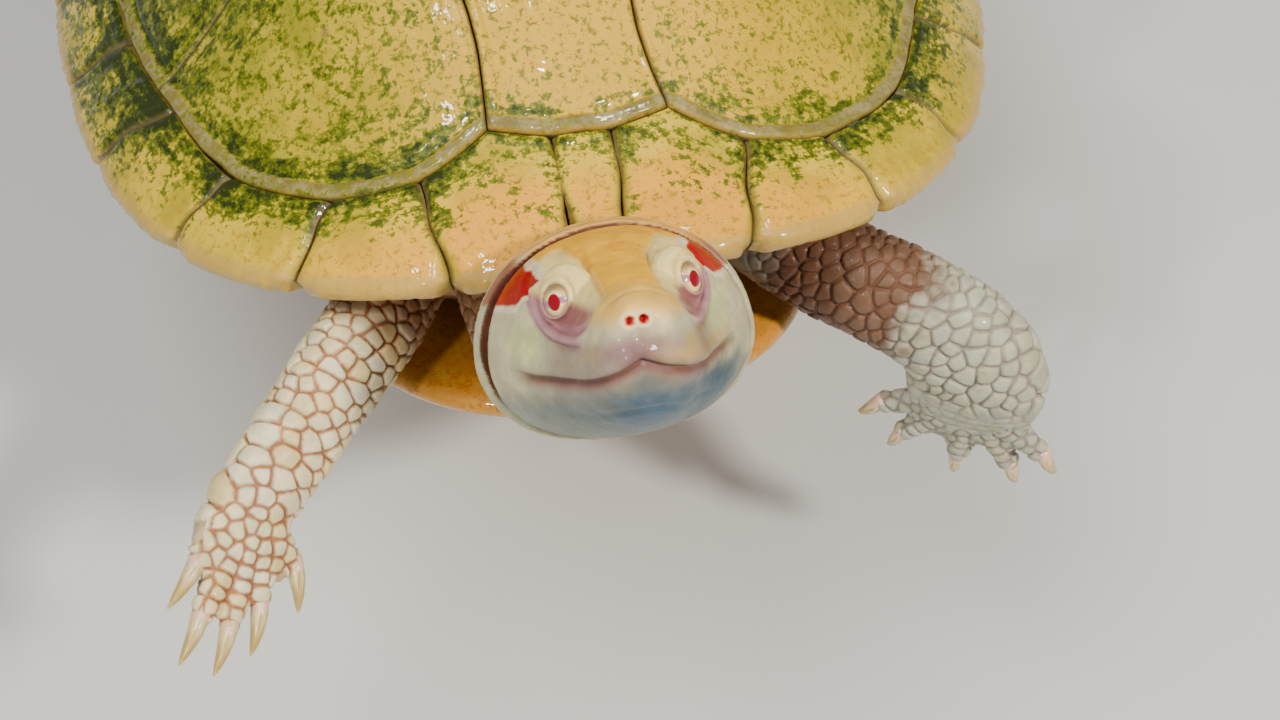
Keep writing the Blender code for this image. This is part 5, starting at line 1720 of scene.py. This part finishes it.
# %% The eye's finish: wet cornea over a cream iris
PUPIL_RADIUS = 0.95
IRIS_RADIUS = 2.7
FIBRE_MM = 0.3       # the iris's radial fibres
CORNEA_BULGE = 0.22
BALL_INSET = 0.04    # keeps the ball a hair inside its solid
EYE_RINGS = 89
EYE_SPOKES = 96


def eye_finish():
    material, tree, shader = new_material("wet albino eye", Roughness=0.25, IOR=1.376, Coat_Weight=1.0,
                                          Coat_Roughness=0.015, Coat_IOR=1.376)
    place = fact(tree, "gaze_mm", "Vector")
    axes = add(tree, "ShaderNodeSeparateXYZ", {"Vector": place}).outputs
    tall = stretched(tree, place, (1.0, 0.86, 1.0))
    middle = add(tree, "ShaderNodeVectorMath", {0: tall}, operation="LENGTH").outputs["Value"]
    turned = add(tree, "ShaderNodeMath", {0: axes["Y"], 1: axes["X"]}, operation="ARCTAN2").outputs[0]
    spoke = add(tree, "ShaderNodeCombineXYZ", {"X": turned, "Y": 0.0}).outputs[0]
    fibres = lumps(tree, stretched(tree, spoke, (3.2, 1.0, 1.0)), FIBRE_MM, 4.0)
    colour = blend(tree, between(tree, middle, 1.0, 2.4), "#e6cc8c", "#bb8f50")
    colour = blend(tree, between(tree, fibres, 0.4, 0.7), colour, "#c9a777")
    colour = blend(tree, between(tree, middle, 1.5, 1.2), colour, "#f0dc98")
    # Painted shade: the iris darker above the pupil, under the upper lid.
    colour = blend(tree, between(tree, axes["Y"], 0.9, 2.3), colour, "#8f7046")
    tilted = total(tree, axes["Y"], axes["X"], 0.12)
    level = add(tree, "ShaderNodeMath", {0: tilted}, operation="ABSOLUTE").outputs[0]
    colour = blend(tree, between(tree, level, 0.62, 0.3), colour, "#a5708a")
    # Painted shadow: a darker ring at the iris's edge, by the lids.
    colour = blend(tree, between(tree, middle, IRIS_RADIUS - 0.45, IRIS_RADIUS), colour, "#8f5a58")
    colour = blend(tree, between(tree, middle, PUPIL_RADIUS + 0.05, PUPIL_RADIUS - 0.05), colour, "#8c0016")
    tree.links.new(colour, shader.inputs["Base Color"])
    return material


def eye_mesh(side):
    centre, gaze, lateral, upper = eye_frame(side)
    off = np.radians(np.linspace(0, 180, EYE_RINGS + 2))[1:-1]
    turn = np.linspace(0, 2 * np.pi, EYE_SPOKES + 1)[:-1]
    bulge = CORNEA_BULGE * ramp(36, 14, np.degrees(off)) - BALL_INSET
    rings = []
    for angle, more in zip(off, bulge):
        spread = np.outer(np.cos(turn), lateral) + np.outer(np.sin(turn), upper)
        straight = gaze * math.cos(angle) + spread * math.sin(angle)
        rings.append(from_head(centre + straight * (EYE_RADIUS + more)))
    points, faces, _ = loft(rings)
    front, back = EYE_RADIUS + CORNEA_BULGE - BALL_INSET, EYE_RADIUS - BALL_INSET
    points[-2:] = from_head([centre + gaze * front, centre - gaze * back])
    flat = (off * EYE_RADIUS)[:, None, None] * np.stack([np.cos(turn), np.sin(turn), 0 * turn], -1)[None]
    flat = np.vstack([flat.reshape(-1, 3), (0, 0, 0), (12, 0, 0)])
    return points, faces, [("gaze_mm", flat)]


eye_material = eye_finish()
for side, word in SIDES:
    eye = mesh_object(f"eye_{word}", *joined([eye_mesh(side)]))
    finish_piece(eye, eye_material, "eye_globe", f"eye_{word}")
print("eyes:", 2 * EYE_RADIUS, "mm across")

# %% [markdown]
# ## Claws
# A claw is a cone of horn that grows from the toe in fine lengthwise fibres, bends down and wears to a
# blunt point. Each starts inside its toe, so that the skin closes round it.

# %% Claw horn
CLAW_LENGTH = 6.8
CLAW_RADIUS = 1.38
CLAW_DROOP = 1.9
CLAW_CLEARANCE = 0.65
CLAW_ROOT = 1.9
CLAW_SPOKES = 24
CLAW_BLUNTNESS = 0.07
GRAIN_RADIUS = 1.3
HORN_FIBRE_MM = 0.35
FIBRE_DEPTH = 0.1 * MM


def claw_finish():
    material, tree, shader = new_material("worn claw horn", Roughness=0.32, IOR=1.55, Coat_Weight=0.4,
                                          Coat_Roughness=0.1, Coat_IOR=1.33, Subsurface_Weight=0.1,
                                          Subsurface_Radius=(1.0, 0.6, 0.35), Subsurface_Scale=0.0012)
    along = fact(tree, "along")
    grain = fact(tree, "grain_mm", "Vector")
    fibres = lumps(tree, stretched(tree, grain, (1.0, 1.0, 0.12)), HORN_FIBRE_MM, 4.0)
    colour = blend(tree, between(tree, along, 0.05, 0.75), "#e6d3a2", "#b99d55")
    colour = blend(tree, between(tree, along, 0.8, 1.0), colour, "#d9c48c")
    colour = blend(tree, between(tree, fibres, 0.35, 0.7), colour, "#a98d4c")
    colour = blend(tree, between(tree, along, 0.08, -0.05), colour, "#e3b6a0")
    tree.links.new(colour, shader.inputs["Base Color"])
    bumpy(tree, shader, "Normal", fibres, 0.35, FIBRE_DEPTH)
    return material


def claw_mesh(root, aim, back):
    side = unit(np.cross(aim, back))
    rings, share, grain = [], [], []
    stations = np.r_[-CLAW_ROOT / CLAW_LENGTH, np.linspace(-0.12, 0.9, 22), 0.95, 0.98, 1.0]
    for part in stations:
        bend = max(part, 0.0)
        centre = root + aim * CLAW_LENGTH * part - back * CLAW_DROOP * bend ** 2
        forward = unit(aim * CLAW_LENGTH - back * 2 * CLAW_DROOP * bend)
        up = np.cross(side, forward)
        up = up * np.sign(up @ back)
        radius = CLAW_RADIUS * max(1 - bend ** 1.45, 0.0) ** 0.72 + CLAW_BLUNTNESS * (1 - 0.8 * bend)
        rings.append(oval(centre, side, up, radius * 0.92, radius * 1.04, CLAW_SPOKES, 2.0))
        share.append(np.full(CLAW_SPOKES, part))
        turn = 2 * np.pi * np.arange(CLAW_SPOKES) / CLAW_SPOKES
        grain.append(np.stack([GRAIN_RADIUS * np.cos(turn), GRAIN_RADIUS * np.sin(turn),
                               np.full(CLAW_SPOKES, part * CLAW_LENGTH)], -1))
    points, faces, _ = loft(rings)
    share = np.r_[np.concatenate(share), -0.3, 1.0]
    grain = np.vstack([*grain, (0, 0, -2), (0, 0, CLAW_LENGTH)])
    return points, faces, [("along", share), ("grain_mm", grain)]


claw_material = claw_finish()
for limb_name, limb in LIMBS.items():
    wrist, axes, back, _ = limb_place(limb_name)
    toes = limb["toes"] if limb_name.startswith("front") else limb["toes"][:-1]
    for number, (degrees, length) in enumerate(toes, 1):
        aim = toe_aim(axes, degrees)
        root = wrist + aim * (length + CLAW_CLEARANCE)
        name = f"claw_{limb_name}_{number}"
        claw = mesh_object(name, *joined([claw_mesh(root, unit(aim + axes[1]), back)]))
        finish_piece(claw, claw_material, "claw_horn", name)
    print("claws of the", limb_name.replace("_", " "), "foot:", len(toes))

# %% [markdown]
# ## The stand
# A museum stand is plain: a heavy base in satin enamel, and two ground steel rods. The solids already
# have the right shape, so they keep it and get only their finishes. Enamel is a hard gloss over paint
# that breaks a lamp's image up with its orange peel. Grinding leaves fine rings round a steel rod, and
# its shine varies from ring to ring.

# %% Satin enamel and ground steel
ENAMEL_PEEL = 1.1    # sprayed enamel dries with a fine orange peel, mm
ENAMEL_CLOUD = 40.0
PEEL_DEPTH = 0.03 * MM


def satin_enamel():
    material, tree, shader = new_material("satin grey enamel", Roughness=0.42, IOR=1.5)
    place = add(tree, "ShaderNodeTexCoord").outputs["Object"]
    peel = lumps(tree, place, ENAMEL_PEEL * MM)
    cloud = lumps(tree, place, ENAMEL_CLOUD * MM, 3.0)
    tree.links.new(blend(tree, cloud, "#a9aaa6", "#b6b7b2"), shader.inputs["Base Color"])
    bumpy(tree, shader, "Normal", peel, 0.3, PEEL_DEPTH)
    return material


def ground_steel():
    material, tree, shader = new_material("ground steel rod", Metallic=1.0)
    place = add(tree, "ShaderNodeTexCoord").outputs["Object"]
    rings = lumps(tree, stretched(tree, place, (60.0, 60.0, 4000.0)), 1.0, 3.0)
    tree.links.new(blend(tree, rings, "#a8a9aa", "#c2c3c4"), shader.inputs["Base Color"])
    rough = add(tree, "ShaderNodeMapRange", {"Value": rings, "To Min": 0.22, "To Max": 0.42})
    tree.links.new(rough.outputs["Result"], shader.inputs["Roughness"])
    return material


steel = ground_steel()
STAND_FINISHES = {"stand_base": satin_enamel(), "stand_rod_front": steel, "stand_rod_rear": steel}
for node, material in STAND_FINISHES.items():
    for stand_slot in bpy.data.objects[node].material_slots:
        stand_slot.material = material
    print(node, "wears", material.name)

# %% [markdown]
# ## Stage, camera and light
# The model stands on a plain pale floor of matt paper. A wall behind it would be possible too, but the
# floor alone lets the shape be seen from every side.

# %% Floor
FLOOR_RADIUS = 3.0
FLOOR_SEGMENTS = 64


def pale_floor():
    bm = bmesh.new()
    bmesh.ops.create_circle(bm, cap_ends=True, segments=FLOOR_SEGMENTS, radius=FLOOR_RADIUS)
    mesh = bpy.data.meshes.new("floor")
    bm.to_mesh(mesh)
    bm.free()
    obj = in_scene("floor", mesh)
    material, tree, shader = new_material("matt pale paper", Roughness=0.9)
    place = add(tree, "ShaderNodeTexCoord").outputs["Object"]
    cloud = add(tree, "ShaderNodeTexNoise", {"Vector": place, "Scale": 3.0}).outputs["Fac"]
    tree.links.new(blend(tree, cloud, "#c6c9c8", "#cccecc"), shader.inputs["Base Color"])
    obj.data.materials.append(material)


pale_floor()
print("floor:", 2 * FLOOR_RADIUS, "m across")

# %% [markdown]
# ### Camera
# The camera looks down at the raised head from in front and a little from the animal's right. It is placed
# in the animal's own space, so it would follow the animal if the pose's tilt were changed.

# %% Camera
FIELD_OF_VIEW = math.radians(34.0)
VIEW_AZIMUTH = math.radians(-9.8)
VIEW_ELEVATION = math.radians(46.4)
VIEW_ROLL = math.radians(-1.0)
VIEW_DISTANCE = 291.0
VIEW_TARGET = Vector((1.3, -120.3, 40.0))
camera = in_scene("camera", bpy.data.cameras.new("camera"))
camera.data.angle = FIELD_OF_VIEW
camera.data.clip_start = 0.01
flat = Vector((math.sin(VIEW_AZIMUTH), -math.cos(VIEW_AZIMUTH), 0)) * math.cos(VIEW_ELEVATION)
outward = flat + Vector((0, 0, math.sin(VIEW_ELEVATION)))
level_view = (Matrix.Translation(VIEW_TARGET + outward * VIEW_DISTANCE)
              @ outward.to_track_quat("Z", "Y").to_matrix().to_4x4() @ Matrix.Rotation(VIEW_ROLL, 4, "Z"))
place, turn, _ = (POSE @ level_view).decompose()
camera.matrix_world = Matrix.Translation(place) @ turn.to_matrix().to_4x4()
bpy.context.scene.camera = camera
print("camera at", [round(v, 3) for v in camera.matrix_world.translation])

# %% [markdown]
# ### Light
# Wet horn and skin are read by their highlights. A large light would be mirrored in the wet film as a
# grey veil, so the overhead softbox lights the colours and is left out of the mirror images. Small
# window panes do the opposite: they are seen only as the small bright glints of the film.

# %% Soft lights
LOOK_AT = Vector((0, -0.05, 0.08))
PANES = ((-0.34, -0.08, 1.02), (-0.26, -0.04, 1.04), (-0.03, -0.1, 1.08), (0.22, -0.03, 1.05),
         (0.3, 0.0, 1.02))


def soft_light(name, place, size, power, colour, mirrored=True, lighting=True):
    """A round light, in metres and watts; it may be left out of the gloss, or be only in it."""
    data = bpy.data.lights.new(name, "AREA")
    data.shape = "DISK"
    data.size = size
    data.energy = power
    data.color = linear(colour)[:3]
    obj = in_scene(name, data)
    obj.location = place
    obj.rotation_euler = (Vector(place) - LOOK_AT).to_track_quat("Z", "Y").to_euler()
    obj.visible_glossy = mirrored
    obj.visible_diffuse = lighting


soft_light("overhead softbox", (-0.3, -0.1, 0.95), 0.5, 7.0, "#fffaf2", mirrored=False)
soft_light("window key", (0.42, -0.5, 0.8), 0.1, 9.5, "#fff6e8")
soft_light("small sparkle", (-0.42, -0.62, 0.62), 0.06, 2.6, "#ffffff")
soft_light("skin sparkle", (-0.1, -0.35, 0.95), 0.05, 3.0, "#ffffff", lighting=False)
for number, place in enumerate(PANES, 1):
    soft_light(f"window pane {number}", place, 0.05, 0.9, "#f4f8ff", lighting=False)
world = bpy.data.worlds.new("studio")
world.use_nodes = True
world.node_tree.nodes["Background"].inputs["Color"].default_value = linear("#e6ecef")
world.node_tree.nodes["Background"].inputs["Strength"].default_value = 0.24
bpy.context.scene.world = world
